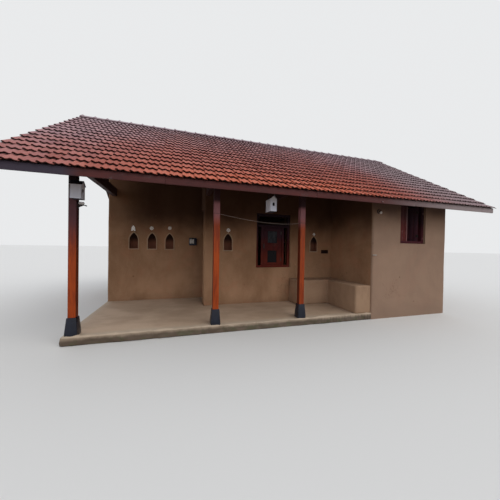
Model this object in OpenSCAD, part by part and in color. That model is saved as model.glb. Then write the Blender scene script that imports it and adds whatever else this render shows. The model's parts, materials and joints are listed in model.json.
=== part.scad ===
// A one-storey house of mud walls under a clay-tiled gable roof. Millimetres, +Z up.
// The ridge runs along X and the verandah faces -Y. The origin is on the ground, below the ridge's middle.

/* [Walls] */
// Outer length of the walls, left to right
wall_len = 8530; // [8200:10:9400]
// Outer depth of the walls, front to back
wall_dep = 5850; // [5500:10:6600]
// Thickness of the mud walls
wall_t = 340; // [300:10:380]
// Radius of the hand-rounded outer corners
corner_r = 45; // [20:5:60]
// How far the right-hand room stands in front of the middle wall
room_step = 1580; // [1450:10:1750]
// How far the niche wall lies behind the middle wall's face
bay_step = 980; // [940:10:1100]
// Length of the niche wall's face
bay_len = 2415; // [2350:10:2600]
// Length of the middle wall's face
middle_len = 3735; // [3650:10:3900]
// Height of the floors above the ground
plinth_h = 150; // [100:10:300]

/* [Roof] */
// Slope of the roof, in degrees
pitch = 33.5; // [30:0.5:35]
// How far the eaves reach beyond the walls
eave_out = 615; // [500:5:750]
// How far the verges reach beyond the walls
verge_out = 735; // [600:5:900]
// Height of the tiles' lower edge above the floor
eave_h = 2545; // [2500:5:2800]
// Courses of tiles on a slope
courses = 16; // [12:1:18]
// Height of a course's lower edge above the laths
course_high = 46; // [40:1:60]
// Height of a course's upper edge above the laths
course_low = 20; // [12:1:30]
// Length of one ridge tile that shows
ridge_tile_len = 294; // [250:1:350]
// Thickness of a ridge tile
ridge_tile_t = 16; // [12:1:22]
// Length of a ridge tile's leg down each slope
ridge_leg = 150; // [120:5:200]
// Width of the collar where one ridge tile laps the next
collar_w = 46; // [30:1:60]
// Height of that collar above the tile
collar_h = 12; // [8:1:18]

/* [Roof timbers] */
// Depth of the rafters, square to the slope
rafter_d = 80; // [70:1:110]
// Width of the rafters
rafter_w = 60; // [50:1:80]
// Number of rafters on a slope
rafter_count = 12; // [10:1:16]
// Thickness of the laths
lath_t = 25; // [20:1:35]
// Width of the laths
lath_w = 45; // [35:1:60]
// Width of the beams on the posts and walls
beam_w = 120; // [100:5:150]
// Depth of the beams on the posts and walls, at their outer face
beam_d = 168; // [140:1:200]
// Depth of the ridge beam
ridge_beam_d = 220; // [180:5:260]
// Width of the ties from the posts back to the walls
tie_w = 100; // [80:5:120]
// Depth of the ties
tie_d = 200; // [160:5:220]
// How far the ties' underside lies above the beams' underside
tie_rise = 105; // [80:5:120]
// Length of a tie that lies in the wall
tie_seat = 150; // [100:5:200]
// Thickness of the eave boards
fascia_t = 25; // [18:1:35]
// How far the eave boards reach below the tiles' lower edge
fascia_drop = 97; // [85:1:125]
// Thickness of the verge boards
verge_t = 30; // [20:1:40]
// How far the tiles reach past the eave and verge boards
tile_nose = 20; // [10:1:40]

/* [Posts] */
// Side of the square posts
post_w = 115; // [100:1:130]
// Chamfer on the posts' corners
post_chamfer = 8; // [4:1:15]
// Centre of the posts, behind the floor's front edge
post_in = 95; // [92:1:120]
// Centre of the first post, from the left end of the floor
post_1_in = 150; // [110:5:250]
// Centre of the second post, right of the middle wall's corner
post_2_in = 78; // [70:1:120]
// Centre of the third post, left of the right-hand room
post_3_in = 1818; // [1700:1:1900]
// Height of the footings under the posts
footing_h = 300; // [240:5:340]
// Width of a footing at its top
footing_top = 140; // [132:1:150]
// Width of a footing at the floor
footing_w = 180; // [160:1:184]
// Height of a footing's straight foot
footing_foot = 60; // [30:5:90]

/* [Openings] */
// Height of the doorway, above the floor
door_h = 2500; // [2350:10:2550]
// Height of the door frame's transom, above the floor
transom_h = 2100; // [2000:10:2200]
// Width and depth of the door frame's bars
door_bar = 60; // [45:1:80]
// Centre of the middle window, from the middle wall's left corner
mid_win_in = 1890; // [1800:10:2000]
// Width of the middle window
mid_win_w = 1010; // [900:10:1100]
// Sill of the middle window, above the floor
mid_sill = 950; // [900:5:1100]
// Height of the middle window up to its transom
mid_win_h = 1150; // [1050:5:1250]
// Height of the vent over the middle window
vent_h = 330; // [260:5:380]
// Width of the window frames' bars
frame_bar = 60; // [45:1:70]
// Depth of the window frames in the wall
frame_dep = 100; // [80:1:130]
// How far the window frames lie behind the wall's face
frame_in = 50; // [30:1:90]
// Width of the middle window's leaf
leaf_w = 560; // [500:5:600]
// Width of the leaf's stiles
leaf_bar = 130; // [90:1:150]
// Height of the leaf's top rail
leaf_top = 100; // [80:1:130]
// Height of its middle rail
leaf_mid = 190; // [150:5:220]
// Height of its bottom rail
leaf_foot = 60; // [45:1:90]
// Thickness of the leaves and shutters
leaf_t = 35; // [25:1:45]
// Thickness of the panes
pane_t = 5; // [4:1:8]
// Centre of the right-hand window, from the house's right end
room_win_in = 1135; // [1000:5:1250]
// Width of the right-hand window
room_win_w = 820; // [750:5:900]
// Sill of the right-hand window and the back windows, above the floor
high_sill = 1660; // [1600:5:1750]
// How far the back windows' head lies below the beam
back_head_drop = 140; // [100:5:200]
// Centre of each back window, from the house's middle
back_win_x = 2100; // [1900:10:2400]
// Angle of the front left shutter, in degrees from closed
shutter_left_open = 3; // [0:1:40]
// Angle of the front right shutter, in degrees from closed
shutter_right_open = 80; // [60:1:85]

/* [Niches] */
// Width of the lamp niches
niche_w = 210; // [170:5:260]
// Height of the lamp niches
niche_h = 430; // [380:5:480]
// Height of their straight sides
niche_side = 225; // [190:5:260]
// Depth of the niches
niche_dep = 150; // [100:5:180]
// Height of the niches above the floor
niche_z = 1410; // [1300:5:1500]
// Width of the raised rim round a niche
rim_w = 28; // [15:1:40]
// How far that rim stands out from the wall
rim_t = 12; // [5:1:20]
// First niche of the left bay, from the house's left end
niche_1_in = 620; // [560:5:700]
// Distance from one niche of the left bay to the next
niche_step = 460; // [420:5:500]
// Left niche of the middle wall, from its left corner
niche_4_in = 603; // [550:1:700]
// Right niche of the middle wall, from its right end
niche_5_in = 595; // [560:1:640]
// Centre of the small slot, from the middle wall's right end
slot_in = 214; // [190:1:250]
// Width of the small slot
slot_w = 240; // [200:5:260]
// Height of the small slot
slot_h = 105; // [80:5:130]
// Height of the slot above the floor
slot_z = 1350; // [1250:5:1450]

/* [Benches] */
// Height of the mud benches
bench_h = 645; // [500:5:700]
// Depth of the back bench
bench_back_dep = 490; // [400:5:550]
// Length of the back bench
bench_back_len = 1365; // [1200:5:1450]
// Width of the side bench
bench_side_w = 430; // [380:5:520]
// End of the side bench, behind the floor's front edge
bench_front_in = 25; // [10:5:80]

/* [Nest boxes] */
// Thickness of the nest boxes' boards
nest_t = 10; // [6:1:14]
// Slope of their roofs, in degrees
nest_pitch = 42; // [30:1:50]
// How far their roofs reach beyond the gables
nest_out = 14; // [5:1:25]
// Width of their entrance holes
nest_hole = 42; // [28:1:48]
// Height of an entrance hole, which has round ends
nest_hole_h = 68; // [50:1:80]
// Height of an entrance hole's middle above the floor of its box
nest_hole_z = 135; // [110:5:150]
// Width of the post's nest box across its gable
nest_w = 160; // [130:5:190]
// Length of the post's nest box along its ridge
nest_len = 150; // [120:5:190]
// Height of the post's nest box at its side walls
nest_side = 210; // [180:5:230]
// How far the foot of the post's nest box lies below the beam
nest_drop = 466; // [440:1:500]
// Centre of that box, right of the first post
nest_in = 100; // [40:5:110]
// Width of the hanging nest box across its gable
hung_w = 130; // [115:5:160]
// Length of the hanging nest box along its ridge
hung_len = 250; // [200:5:280]
// Height of the hanging nest box at its side walls
hung_side = 230; // [190:5:250]
// How far it hangs below the beam
hung_drop = 180; // [120:5:220]
// Centre of the hanging nest box, right of the second post
hung_in = 1045; // [1000:5:1200]
// Width of the strap that it hangs from
strap_w = 24; // [16:1:40]
// Thickness of that strap
strap_t = 4; // [3:1:6]

/* [Fittings] */
// Radius of the lamps' bulbs
lamp_r = 30; // [22:1:36]
// Length of the arm under the post's lamp
arm_len = 120; // [100:5:140]
// Width of that arm
arm_w = 60; // [40:1:80]
// Thickness of that arm
arm_t = 12; // [8:1:16]
// How far that arm lies below the nest box
arm_drop = 75; // [65:1:90]
// Radius of the wall lamp's rose
rose_r = 55; // [45:1:65]
// Thickness of the rose
rose_t = 20; // [14:1:26]
// Centre of the rose, right of the room's left corner
rose_in = 160; // [120:5:200]
// Height of the rose's centre above the floor
rose_z = 2393; // [2340:1:2420]
// How far the bulb's centre stands out from the wall
bulb_out = 60; // [50:1:75]
// Side of the switch board
board_w = 215; // [180:5:240]
// Thickness of the switch board
board_t = 45; // [30:1:60]
// Right edge of the switch board, left of the doorway's corner
board_in = 130; // [100:5:180]
// Height of the switch board above the floor
board_z = 1520; // [1450:5:1600]
// Diameter of the clothes line
line_d = 6; // [5:1:10]

/* [Hidden] */
$fn = 48;

// Colours
mud = [0.55, 0.45, 0.35];
floor_mud = [0.50, 0.45, 0.39];
clay = [0.66, 0.28, 0.20];
post_wood = [0.60, 0.25, 0.10];
dark_wood = [0.25, 0.15, 0.13];
window_wood = [0.33, 0.09, 0.08];
black_paint = [0.10, 0.10, 0.12];
white_paint = [0.80, 0.81, 0.84];

// Plan lines: x of the wall faces, y of the wall faces
x_left = -wall_len / 2;
x_right = wall_len / 2;
x_step = x_left + bay_len;
x_room = x_step + middle_len;
y_front = -wall_dep / 2;
y_back = wall_dep / 2;
y_middle = y_front + room_step;
y_niche = y_middle + bay_step;
y_post = y_front + post_in;
post_x = [x_left + post_1_in, x_step + post_2_in, x_room - post_3_in];

// The roof's planes, given by the height of the tiles' underside over the eave line
roof_len = wall_len + 2 * verge_out;
run = wall_dep / 2 + eave_out;
slope_len = run / cos(pitch);
lath_v = lath_t / cos(pitch);
rafter_v = rafter_d / cos(pitch);
tail = run - tile_nose - fascia_t;
timber_len = roof_len - 2 * (tile_nose + verge_t);
function tile_z(y) = plinth_h + eave_h + (run - abs(y)) * tan(pitch);
function rafter_top(y) = tile_z(y) - lath_v;
function rafter_low(y) = tile_z(y) - lath_v - rafter_v;
// A point s up the front slope from the eave and n above the laths, as [y, z]
function slope_at(s, n) = [-run + s * cos(pitch) - n * sin(pitch),
    plinth_h + eave_h + s * sin(pitch) + n * cos(pitch)];

// The beams lie in one line with the posts
beam_y = y_post;
beam_top = rafter_low(abs(beam_y) + beam_w / 2);
beam_low = beam_top - beam_d;
ridge_low = rafter_low(0) - ridge_beam_d;
tie_low = beam_low + tie_rise;
nest_low = beam_low - nest_drop;
fascia_low = plinth_h + eave_h - fascia_drop;

// Solids drawn as [y, z] outlines that run along X, and as [x, z] outlines that run along Y
module along_x(x0, x1, outline) {
    translate([x0, 0, 0]) rotate([90, 0, 90]) linear_extrude(x1 - x0) polygon(outline);
}
module along_y(y0, y1, outline) {
    translate([0, y1, 0]) rotate([90, 0, 0]) linear_extrude(y1 - y0) polygon(outline);
}
module block(low, high) {
    translate(low) cube(high - low);
}
module at_back() {
    mirror([0, 1, 0]) children();
}

// All that lies under the rafters
module under_rafters() {
    along_x(-roof_len / 2, roof_len / 2, [[-run, -1], [-run, rafter_low(run)],
        [0, rafter_low(0)], [run, rafter_low(run)], [run, -1]]);
}

// The long timbers, which the walls are built around
module front_beam_solid() {
    intersection() {
        block([-timber_len / 2, beam_y - beam_w / 2, beam_low],
            [timber_len / 2, beam_y + beam_w / 2, beam_top + beam_w]);
        under_rafters();
    }
}
module ridge_beam_solid() {
    intersection() {
        block([-timber_len / 2, -beam_w / 2, ridge_low],
            [timber_len / 2, beam_w / 2, rafter_low(0)]);
        under_rafters();
    }
}
module tie(x, y_wall) {
    intersection() {
        block([x - tie_w / 2, beam_y + beam_w / 2, tie_low],
            [x + tie_w / 2, y_wall + tie_seat, tie_low + tie_d]);
        under_rafters();
    }
}
module ties() {
    tie(post_x[0], y_niche);
    tie(post_x[1], y_middle);
    tie(post_x[2], y_middle);
}
// The slots that hold these timbers in the walls, open at the top
module beam_slot(y, z) {
    block([-roof_len, y - beam_w / 2, z], [roof_len, y + beam_w / 2, rafter_low(0) + beam_w]);
}
module tie_seat_at(x, y_wall) {
    block([x - tie_w / 2, y_wall - 1, tie_low], [x + tie_w / 2, y_wall + tie_seat, tie_low + tie_d]);
}

// What is cut from a sharp corner to round it; sx and sy are 1 or -1 and point into the wall
module corner_cut(x, y, sx, sy, z0, z1) {
    r = corner_r;
    difference() {
        block([min(x - sx, x + sx * r), min(y - sy, y + sy * r), z0],
            [max(x - sx, x + sx * r), max(y - sy, y + sy * r), z1]);
        translate([x + sx * r, y + sy * r, z0 - 1]) cylinder(h = z1 - z0 + 2, r = r);
    }
}
module wall_corner(x, y, sx, sy, z0 = -1) {
    corner_cut(x, y, sx, sy, z0, rafter_low(0));
}

// A length of wall from the ground to the rafters, less the timbers, openings and corners given with it
module wall(low, high) {
    difference() {
        intersection() {
            block([low[0], low[1], 0], [high[0], high[1], rafter_low(0) + 1]);
            under_rafters();
        }
        children();
    }
}

// A niche with straight sides and a pointed arch of two arcs
niche_arch = niche_h - niche_side;
niche_r = (niche_arch * niche_arch + niche_w * niche_w / 4) / niche_w;
module niche_outline(extra = 0) {
    half = niche_w / 2 + extra;
    translate([-half, -extra]) square([2 * half, niche_side + extra]);
    intersection() {
        translate([niche_w / 2 - niche_r, niche_side]) circle(niche_r + extra);
        translate([niche_r - niche_w / 2, niche_side]) circle(niche_r + extra);
        translate([-half, niche_side]) square([2 * half, niche_arch + 2 * extra + 1]);
    }
}
module niche(x, y_face) {
    translate([x, y_face + niche_dep, plinth_h + niche_z]) rotate([90, 0, 0])
        linear_extrude(niche_dep + 1) niche_outline();
}
module niche_rim(x, y_face) {
    translate([x, y_face, plinth_h + niche_z]) rotate([90, 0, 0]) linear_extrude(rim_t) difference() {
        niche_outline(rim_w);
        niche_outline();
    }
}
niche_x = [for (i = [0:2]) x_left + niche_1_in + i * niche_step];
mid_niche_x = [x_step + niche_4_in, x_room - niche_5_in];

// The windows' places
mid_win_x = x_step + mid_win_in;
mid_low = plinth_h + mid_sill;
mid_head = mid_low + mid_win_h;
mid_top = mid_head + vent_h;
room_win_x = x_right - room_win_in;
room_low = plinth_h + high_sill;
back_head = beam_low - back_head_drop;
door_top = plinth_h + door_h;

module window_hole(x, w, z0, z1, y0) {
    block([x - w / 2, y0 - 1, z0], [x + w / 2, y0 + wall_t + 1, z1]);
}

// The ground floor
module verandah_floor() {
    color(floor_mud) difference() {
        linear_extrude(plinth_h)
            polygon([[x_left, y_front], [x_room, y_front], [x_room, y_middle],
                [x_step, y_middle], [x_step, y_niche], [x_left, y_niche]]);
        corner_cut(x_left, y_front, 1, 1, -1, plinth_h + 1);
    }
}
module room_floor() {
    in_left = x_left + wall_t;
    in_right = x_right - wall_t;
    color(floor_mud) linear_extrude(plinth_h)
        polygon([[in_left, y_niche + wall_t], [x_step + wall_t, y_niche + wall_t],
            [x_step + wall_t, y_niche], [x_step, y_niche], [x_step, y_middle + wall_t],
            [x_room + wall_t, y_middle + wall_t], [x_room + wall_t, y_front + wall_t],
            [in_right, y_front + wall_t], [in_right, y_back - wall_t], [in_left, y_back - wall_t]]);
}

// The walls
module niche_wall() {
    color(mud) {
        wall([x_left + wall_t, y_niche], [x_step + wall_t, y_niche + wall_t]) {
            beam_slot(0, ridge_low);
            for (x = niche_x) niche(x, y_niche);
        }
        for (x = niche_x) niche_rim(x, y_niche);
    }
}
module over_door_wall() {
    color(mud) intersection() {
        wall([x_step, y_middle + wall_t], [x_step + wall_t, y_niche]);
        block([x_step, y_front, door_top], [x_step + wall_t, y_back, rafter_low(0)]);
    }
}
module middle_wall() {
    color(mud) {
        wall([x_step, y_middle], [x_room, y_middle + wall_t]) {
            tie_seat_at(post_x[1], y_middle);
            tie_seat_at(post_x[2], y_middle);
            window_hole(mid_win_x, mid_win_w, mid_low, mid_top, y_middle);
            for (x = mid_niche_x) niche(x, y_middle);
            block([x_room - slot_in - slot_w / 2, y_middle - 1, plinth_h + slot_z],
                [x_room - slot_in + slot_w / 2, y_middle + niche_dep, plinth_h + slot_z + slot_h]);
            wall_corner(x_step, y_middle, 1, 1, plinth_h);
        }
        for (x = mid_niche_x) niche_rim(x, y_middle);
    }
}
module side_room_wall() {
    color(mud) wall([x_room, y_front + wall_t], [x_room + wall_t, y_middle + wall_t]);
}
module front_room_wall() {
    color(mud) wall([x_room, y_front], [x_right - wall_t, y_front + wall_t]) {
        beam_slot(beam_y, beam_low);
        window_hole(room_win_x, room_win_w, room_low, beam_low, y_front);
        wall_corner(x_room, y_front, 1, 1, plinth_h);
    }
}
module left_gable_wall() {
    color(mud) wall([x_left, y_niche], [x_left + wall_t, y_back]) {
        beam_slot(0, ridge_low);
        beam_slot(-beam_y, beam_low);
        tie_seat_at(post_x[0], y_niche);
        wall_corner(x_left, y_niche, 1, 1, plinth_h);
        wall_corner(x_left, y_back, 1, -1);
    }
}
module right_gable_wall() {
    color(mud) wall([x_right - wall_t, y_front], [x_right, y_back]) {
        beam_slot(beam_y, beam_low);
        beam_slot(0, ridge_low);
        beam_slot(-beam_y, beam_low);
        wall_corner(x_right, y_front, -1, 1);
        wall_corner(x_right, y_back, -1, -1);
    }
}
module back_wall() {
    color(mud) wall([x_left + wall_t, y_back - wall_t], [x_right - wall_t, y_back]) {
        beam_slot(-beam_y, beam_low);
        for (s = [-1, 1])
            window_hole(s * back_win_x, room_win_w, room_low, back_head, y_back - wall_t);
    }
}

// The mud benches in the verandah's right corner
module bench(x0, y0, y1) {
    color(mud) difference() {
        block([x0, y0, plinth_h], [x_room, y1, plinth_h + bench_h]);
        corner_cut(x0, y0, 1, 1, plinth_h, plinth_h + bench_h);
    }
}
module bench_back() {
    bench(x_room - bench_back_len, y_middle - bench_back_dep, y_middle);
}
module bench_side() {
    bench(x_room - bench_side_w, y_front + bench_front_in, y_middle - bench_back_dep);
}

// The posts and the tapered footings that they stand on
module post(x) {
    a = post_w / 2;
    c = post_chamfer;
    color(post_wood) translate([x, y_post, plinth_h + footing_h])
        linear_extrude(beam_low - plinth_h - footing_h)
            polygon([[-a, c - a], [c - a, -a], [a - c, -a], [a, c - a],
                [a, a - c], [a - c, a], [c - a, a], [-a, a - c]]);
}
module footing(x) {
    taper = [[-footing_w / 2, 0], [footing_w / 2, 0], [footing_w / 2, footing_foot],
        [footing_top / 2, footing_h], [-footing_top / 2, footing_h], [-footing_w / 2, footing_foot]];
    color(black_paint) translate([x, y_post, plinth_h]) intersection() {
        along_x(-footing_w / 2, footing_w / 2, taper);
        along_y(-footing_w / 2, footing_w / 2, taper);
    }
}

// The roof timbers
module front_beam() {
    color(dark_wood) front_beam_solid();
}
module back_beam() {
    color(dark_wood) at_back() front_beam_solid();
}
module ridge_beam() {
    color(dark_wood) ridge_beam_solid();
}
module tie_beams() {
    color(dark_wood) ties();
}
module rafters_front() {
    first = -timber_len / 2;
    step = (timber_len - rafter_w) / (rafter_count - 1);
    color(dark_wood) for (i = [0 : rafter_count - 1])
        along_x(first + i * step, first + i * step + rafter_w,
            [[-tail, rafter_low(tail)], [-tail, rafter_top(tail)], [0, rafter_top(0)], [0, rafter_low(0)]]);
}
module rafters_back() {
    at_back() rafters_front();
}
// One lath under the lower edge of each course, and one at the eave
course_len = slope_len / (courses + 0.5);
module laths_front() {
    color(dark_wood) for (i = [0 : courses]) {
        s = i == 0 ? (tile_nose + fascia_t) / cos(pitch) + lath_t : i * course_len;
        along_x(-timber_len / 2, timber_len / 2, [slope_at(s, 0), slope_at(s, -lath_t),
            slope_at(s + lath_w, -lath_t), slope_at(s + lath_w, 0)]);
    }
}
module laths_back() {
    at_back() laths_front();
}

// The tiled slopes: each course starts high at its lower edge and falls to the foot of the next
module tiles_front() {
    steps = [for (i = [0 : courses]) each
        i < courses ? [slope_at(i * course_len, course_high), slope_at((i + 1) * course_len, course_low)]
            : [slope_at(i * course_len, course_high)]];
    apex = tile_z(0) + (course_high + course_low) / 2 / cos(pitch);
    color(clay) along_x(-roof_len / 2, roof_len / 2,
        concat([[0, tile_z(0)], slope_at(0, 0)], steps, [[0, apex]]));
}
module tiles_back() {
    at_back() tiles_front();
}

// The ridge tiles: a rounded crown with a leg on each slope, and a collar at each lap
crown_r = 70;
crown_z = tile_z(0) + (course_high - (crown_r - ridge_tile_t)) / cos(pitch);
module ridge_outline(extra) {
    outer = crown_r + extra;
    inner = crown_r - ridge_tile_t;
    leg = [ridge_leg * cos(pitch), -ridge_leg * sin(pitch)];
    arc_out = [for (a = [90 - pitch : pitch / 3 : 90 + pitch]) [outer * cos(a), outer * sin(a)]];
    arc_in = [for (a = [90 + pitch : -pitch / 3 : 90 - pitch]) [inner * cos(a), inner * sin(a)]];
    foot_out = [outer * sin(pitch), outer * cos(pitch)] + leg;
    foot_in = [inner * sin(pitch), inner * cos(pitch)] + leg;
    translate([0, crown_z]) polygon(concat([foot_out], arc_out,
        [[-foot_out[0], foot_out[1]], [-foot_in[0], foot_in[1]]], arc_in, [foot_in]));
}
module ridge_tiles() {
    count = floor(roof_len / ridge_tile_len);
    first = -count * ridge_tile_len / 2;
    color(clay) {
        translate([-roof_len / 2, 0, 0]) rotate([90, 0, 90]) linear_extrude(roof_len) ridge_outline(0);
        for (i = [0 : count - 1])
            translate([first + i * ridge_tile_len, 0, 0]) rotate([90, 0, 90])
                linear_extrude(collar_w) ridge_outline(collar_h);
    }
}

// The boards at the eaves and the verges
module fascia_front() {
    y0 = run - tile_nose;
    color(dark_wood) along_x(-timber_len / 2 - verge_t, timber_len / 2 + verge_t,
        [[-y0, fascia_low], [-y0, tile_z(y0)], [-tail, tile_z(tail)], [-tail, fascia_low]]);
}
module fascia_back() {
    at_back() fascia_front();
}
module verge_board(x) {
    color(dark_wood) along_x(x, x + verge_t, [[-tail, rafter_low(tail)], [-tail, tile_z(tail)],
        [0, tile_z(0)], [tail, tile_z(tail)], [tail, rafter_low(tail)], [0, rafter_low(0)]]);
}

// Frames: a ring of bars in a wall's opening, with its outer face at y
module ring(x0, x1, z0, z1, y0, bar, dep) {
    difference() {
        block([x0, y0, z0], [x1, y0 + dep, z1]);
        block([x0 + bar, y0 - 1, z0 + bar], [x1 - bar, y0 + dep + 1, z1 - bar]);
    }
}
module door_frame() {
    y0 = y_middle + wall_t;
    bar = door_bar;
    color(window_wood) difference() {
        block([x_step + bar, y0, plinth_h], [x_step + bar + frame_dep, y_niche, door_top]);
        block([x_step, y0 + bar, plinth_h - 1],
            [x_step + wall_t, y_niche - bar, plinth_h + transom_h]);
        block([x_step, y0 + bar, plinth_h + transom_h + bar],
            [x_step + wall_t, y_niche - bar, door_top - bar]);
    }
}
win_y = y_middle + frame_in;
module middle_window_frame() {
    x0 = mid_win_x - mid_win_w / 2;
    x1 = mid_win_x + mid_win_w / 2;
    color(window_wood) {
        ring(x0, x1, mid_low, mid_top, win_y, frame_bar, frame_dep);
        block([x0, win_y, mid_head - frame_bar / 2], [x1, win_y + frame_dep, mid_head + frame_bar / 2]);
        for (s = [-1, 1]) {
            xm = mid_win_x + s * (leaf_w + frame_bar) / 2;
            block([xm - frame_bar / 2, win_y + frame_dep / 4, mid_low],
                [xm + frame_bar / 2, win_y + frame_dep, mid_head]);
        }
    }
}
leaf_low = mid_low + frame_bar;
leaf_high = mid_head - frame_bar / 2;
leaf_y = win_y + frame_dep / 2;
pane_h = (leaf_high - leaf_low - leaf_top - leaf_mid - leaf_foot) / 2;
pane_low = [leaf_low + leaf_foot, leaf_high - leaf_top - pane_h];
module middle_window_leaf() {
    color(window_wood) difference() {
        block([mid_win_x - leaf_w / 2, leaf_y, leaf_low], [mid_win_x + leaf_w / 2, leaf_y + leaf_t, leaf_high]);
        for (z = pane_low)
            block([mid_win_x - leaf_w / 2 + leaf_bar, leaf_y - 1, z],
                [mid_win_x + leaf_w / 2 - leaf_bar, leaf_y + leaf_t + 1, z + pane_h]);
    }
}
module middle_window_panes() {
    color([0.15, 0.2, 0.2]) for (z = pane_low)
        block([mid_win_x - leaf_w / 2 + leaf_bar, leaf_y + leaf_t / 2, z],
            [mid_win_x + leaf_w / 2 - leaf_bar, leaf_y + leaf_t / 2 + pane_t, z + pane_h]);
}
module room_window_frame() {
    color(window_wood) ring(room_win_x - room_win_w / 2, room_win_x + room_win_w / 2,
        room_low, beam_low, y_front + frame_in, frame_bar, frame_dep);
}
// A shutter hinged on the inner face of its frame's bar; side is -1 for the left one
module shutter(x, w, z0, z1, y, side, angle) {
    half = w / 2 - frame_bar;
    translate([x + side * half, y, 0]) rotate([0, 0, side * -angle])
        block([side < 0 ? 0 : 1 - half, 0, z0 + frame_bar], [side < 0 ? half - 1 : 0, leaf_t, z1 - frame_bar]);
}
module room_window_shutters() {
    y = y_front + frame_in + frame_dep;
    color(window_wood) {
        shutter(room_win_x, room_win_w, room_low, beam_low, y, -1, shutter_left_open);
        shutter(room_win_x, room_win_w, room_low, beam_low, y, 1, shutter_right_open);
    }
}
module back_window_frames() {
    color(window_wood) for (s = [-1, 1])
        ring(s * back_win_x - room_win_w / 2, s * back_win_x + room_win_w / 2,
            room_low, back_head, y_back - frame_in - frame_dep, frame_bar, frame_dep);
}
module back_window_shutters() {
    y = y_back - frame_in - frame_dep / 2 - leaf_t;
    color(window_wood) for (s = [-1, 1], side = [-1, 1])
        shutter(s * back_win_x, room_win_w, room_low, back_head, y, side, 0);
}

// A nest box with its floor at z = 0, its ridge along Y and its entrance in the gable at y = 0
function gable_top(w, side) = side + w / 2 * tan(nest_pitch);
function gable(w, side, t) = [[t - w / 2, t], [w / 2 - t, t], [w / 2 - t, side],
    [0, gable_top(w, side) - t * tan(nest_pitch)], [t - w / 2, side]];
module nest_box(w, len, side) {
    roof_v = nest_t / cos(nest_pitch);
    difference() {
        along_y(0, len, gable(w, side, 0));
        along_y(nest_t, len - nest_t, gable(w, side, nest_t));
        reach = (nest_hole_h - nest_hole) / 2;
        hull() for (z = [-reach, reach])
            translate([0, nest_t + 1, nest_hole_z + z]) rotate([90, 0, 0])
                cylinder(h = nest_t + 2, r = nest_hole / 2);
    }
    along_y(-nest_out, len + nest_out, [[-w / 2, side], [-w / 2, side + roof_v],
        [0, gable_top(w, side) + roof_v], [w / 2, side + roof_v], [w / 2, side], [0, gable_top(w, side)]]);
}
module nest_box_post() {
    color(white_paint) translate([post_x[0] + nest_in + nest_len / 2,
        y_post - post_w / 2 - nest_w / 2, nest_low])
        rotate([0, 0, 90]) nest_box(nest_w, nest_len, nest_side);
}
// It hangs from the beam's face by a strap at its back
module nest_box_hung() {
    y1 = beam_y - beam_w / 2;
    top = gable_top(hung_w, hung_side) + nest_t / cos(nest_pitch);
    z = beam_low - hung_drop - top;
    color(white_paint) translate([post_x[1] + hung_in, y1 - hung_len - nest_out, 0]) {
        translate([0, 0, z]) nest_box(hung_w, hung_len, hung_side);
        block([-strap_w / 2, hung_len, z + hung_side],
            [strap_w / 2, hung_len + nest_out, z + hung_side + strap_w]);
        block([-strap_w / 2, hung_len + nest_out - strap_t, z + hung_side],
            [strap_w / 2, hung_len + nest_out, beam_low + beam_d / 2]);
    }
}

// The lamps: a bulb lying on an arm, and a bulb below a round rose
module post_lamp() {
    x = post_x[0] + post_w / 2;
    z = nest_low - arm_drop;
    color(white_paint) {
        block([x, y_post - arm_w / 2, z], [x + arm_len, y_post + arm_w / 2, z + arm_t]);
        translate([x, y_post, z + arm_t + 0.9 * lamp_r]) rotate([0, 90, 0])
            cylinder(h = arm_len - lamp_r / 2, r = lamp_r);
    }
}
module wall_lamp() {
    color(white_paint) translate([x_room + rose_in, y_front, plinth_h + rose_z]) {
        rotate([90, 0, 0]) cylinder(h = rose_t, r = rose_r);
        rotate([90, 0, 0]) cylinder(h = bulb_out, r = lamp_r / 2);
        translate([0, -bulb_out, -lamp_r]) sphere(lamp_r);
    }
}
module switch_board() {
    x = x_step - board_in;
    z = plinth_h + board_z;
    color(black_paint) block([x - board_w, y_niche - board_t, z], [x, y_niche, z + board_w]);
}

// The clothes line, from the second post to the third: points chosen by hand, as [right of the post, above
// the floor], and a ring of the tube at each point and at three places between it and the next
line_route = [[0, 2133], [120, 2112], [240, 2092], [360, 2073], [480, 2056], [600, 2040], [720, 2027],
    [840, 2016], [960, 2007], [1080, 2001], [1200, 1998], [1320, 1998], [1440, 2001], [1560, 2009],
    [1650, 2020], [1724, 2036]];
line_steps = 4;
function smooth(a, b, c, d, t) = (2 * b + (c - a) * t + (2 * a - 5 * b + 4 * c - d) * t * t
    + (3 * b - a - 3 * c + d) * t * t * t) / 2;
module clothes_line() {
    sides = 8;
    last = len(line_route) - 1;
    path = [for (i = [0 : last - 1], k = [0 : line_steps - 1])
        smooth(line_route[max(i - 1, 0)], line_route[i], line_route[i + 1],
            line_route[min(i + 2, last)], k / line_steps), line_route[last]];
    n = len(path);
    rings = [for (p = path) each
        [for (k = [0 : sides - 1]) [post_x[1] + post_w / 2 + p[0],
            y_post + line_d / 2 * cos(k * 360 / sides), plinth_h + p[1] + line_d / 2 * sin(k * 360 / sides)]]];
    skin = [for (i = [0 : n - 2], k = [0 : sides - 1])
        [i * sides + k, i * sides + (k + 1) % sides, (i + 1) * sides + (k + 1) % sides, (i + 1) * sides + k]];
    color("white") polyhedron(rings, concat([[for (k = [sides - 1 : -1 : 0]) k]], skin,
        [[for (k = [0 : sides - 1]) (n - 1) * sides + k]]));
}

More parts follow.
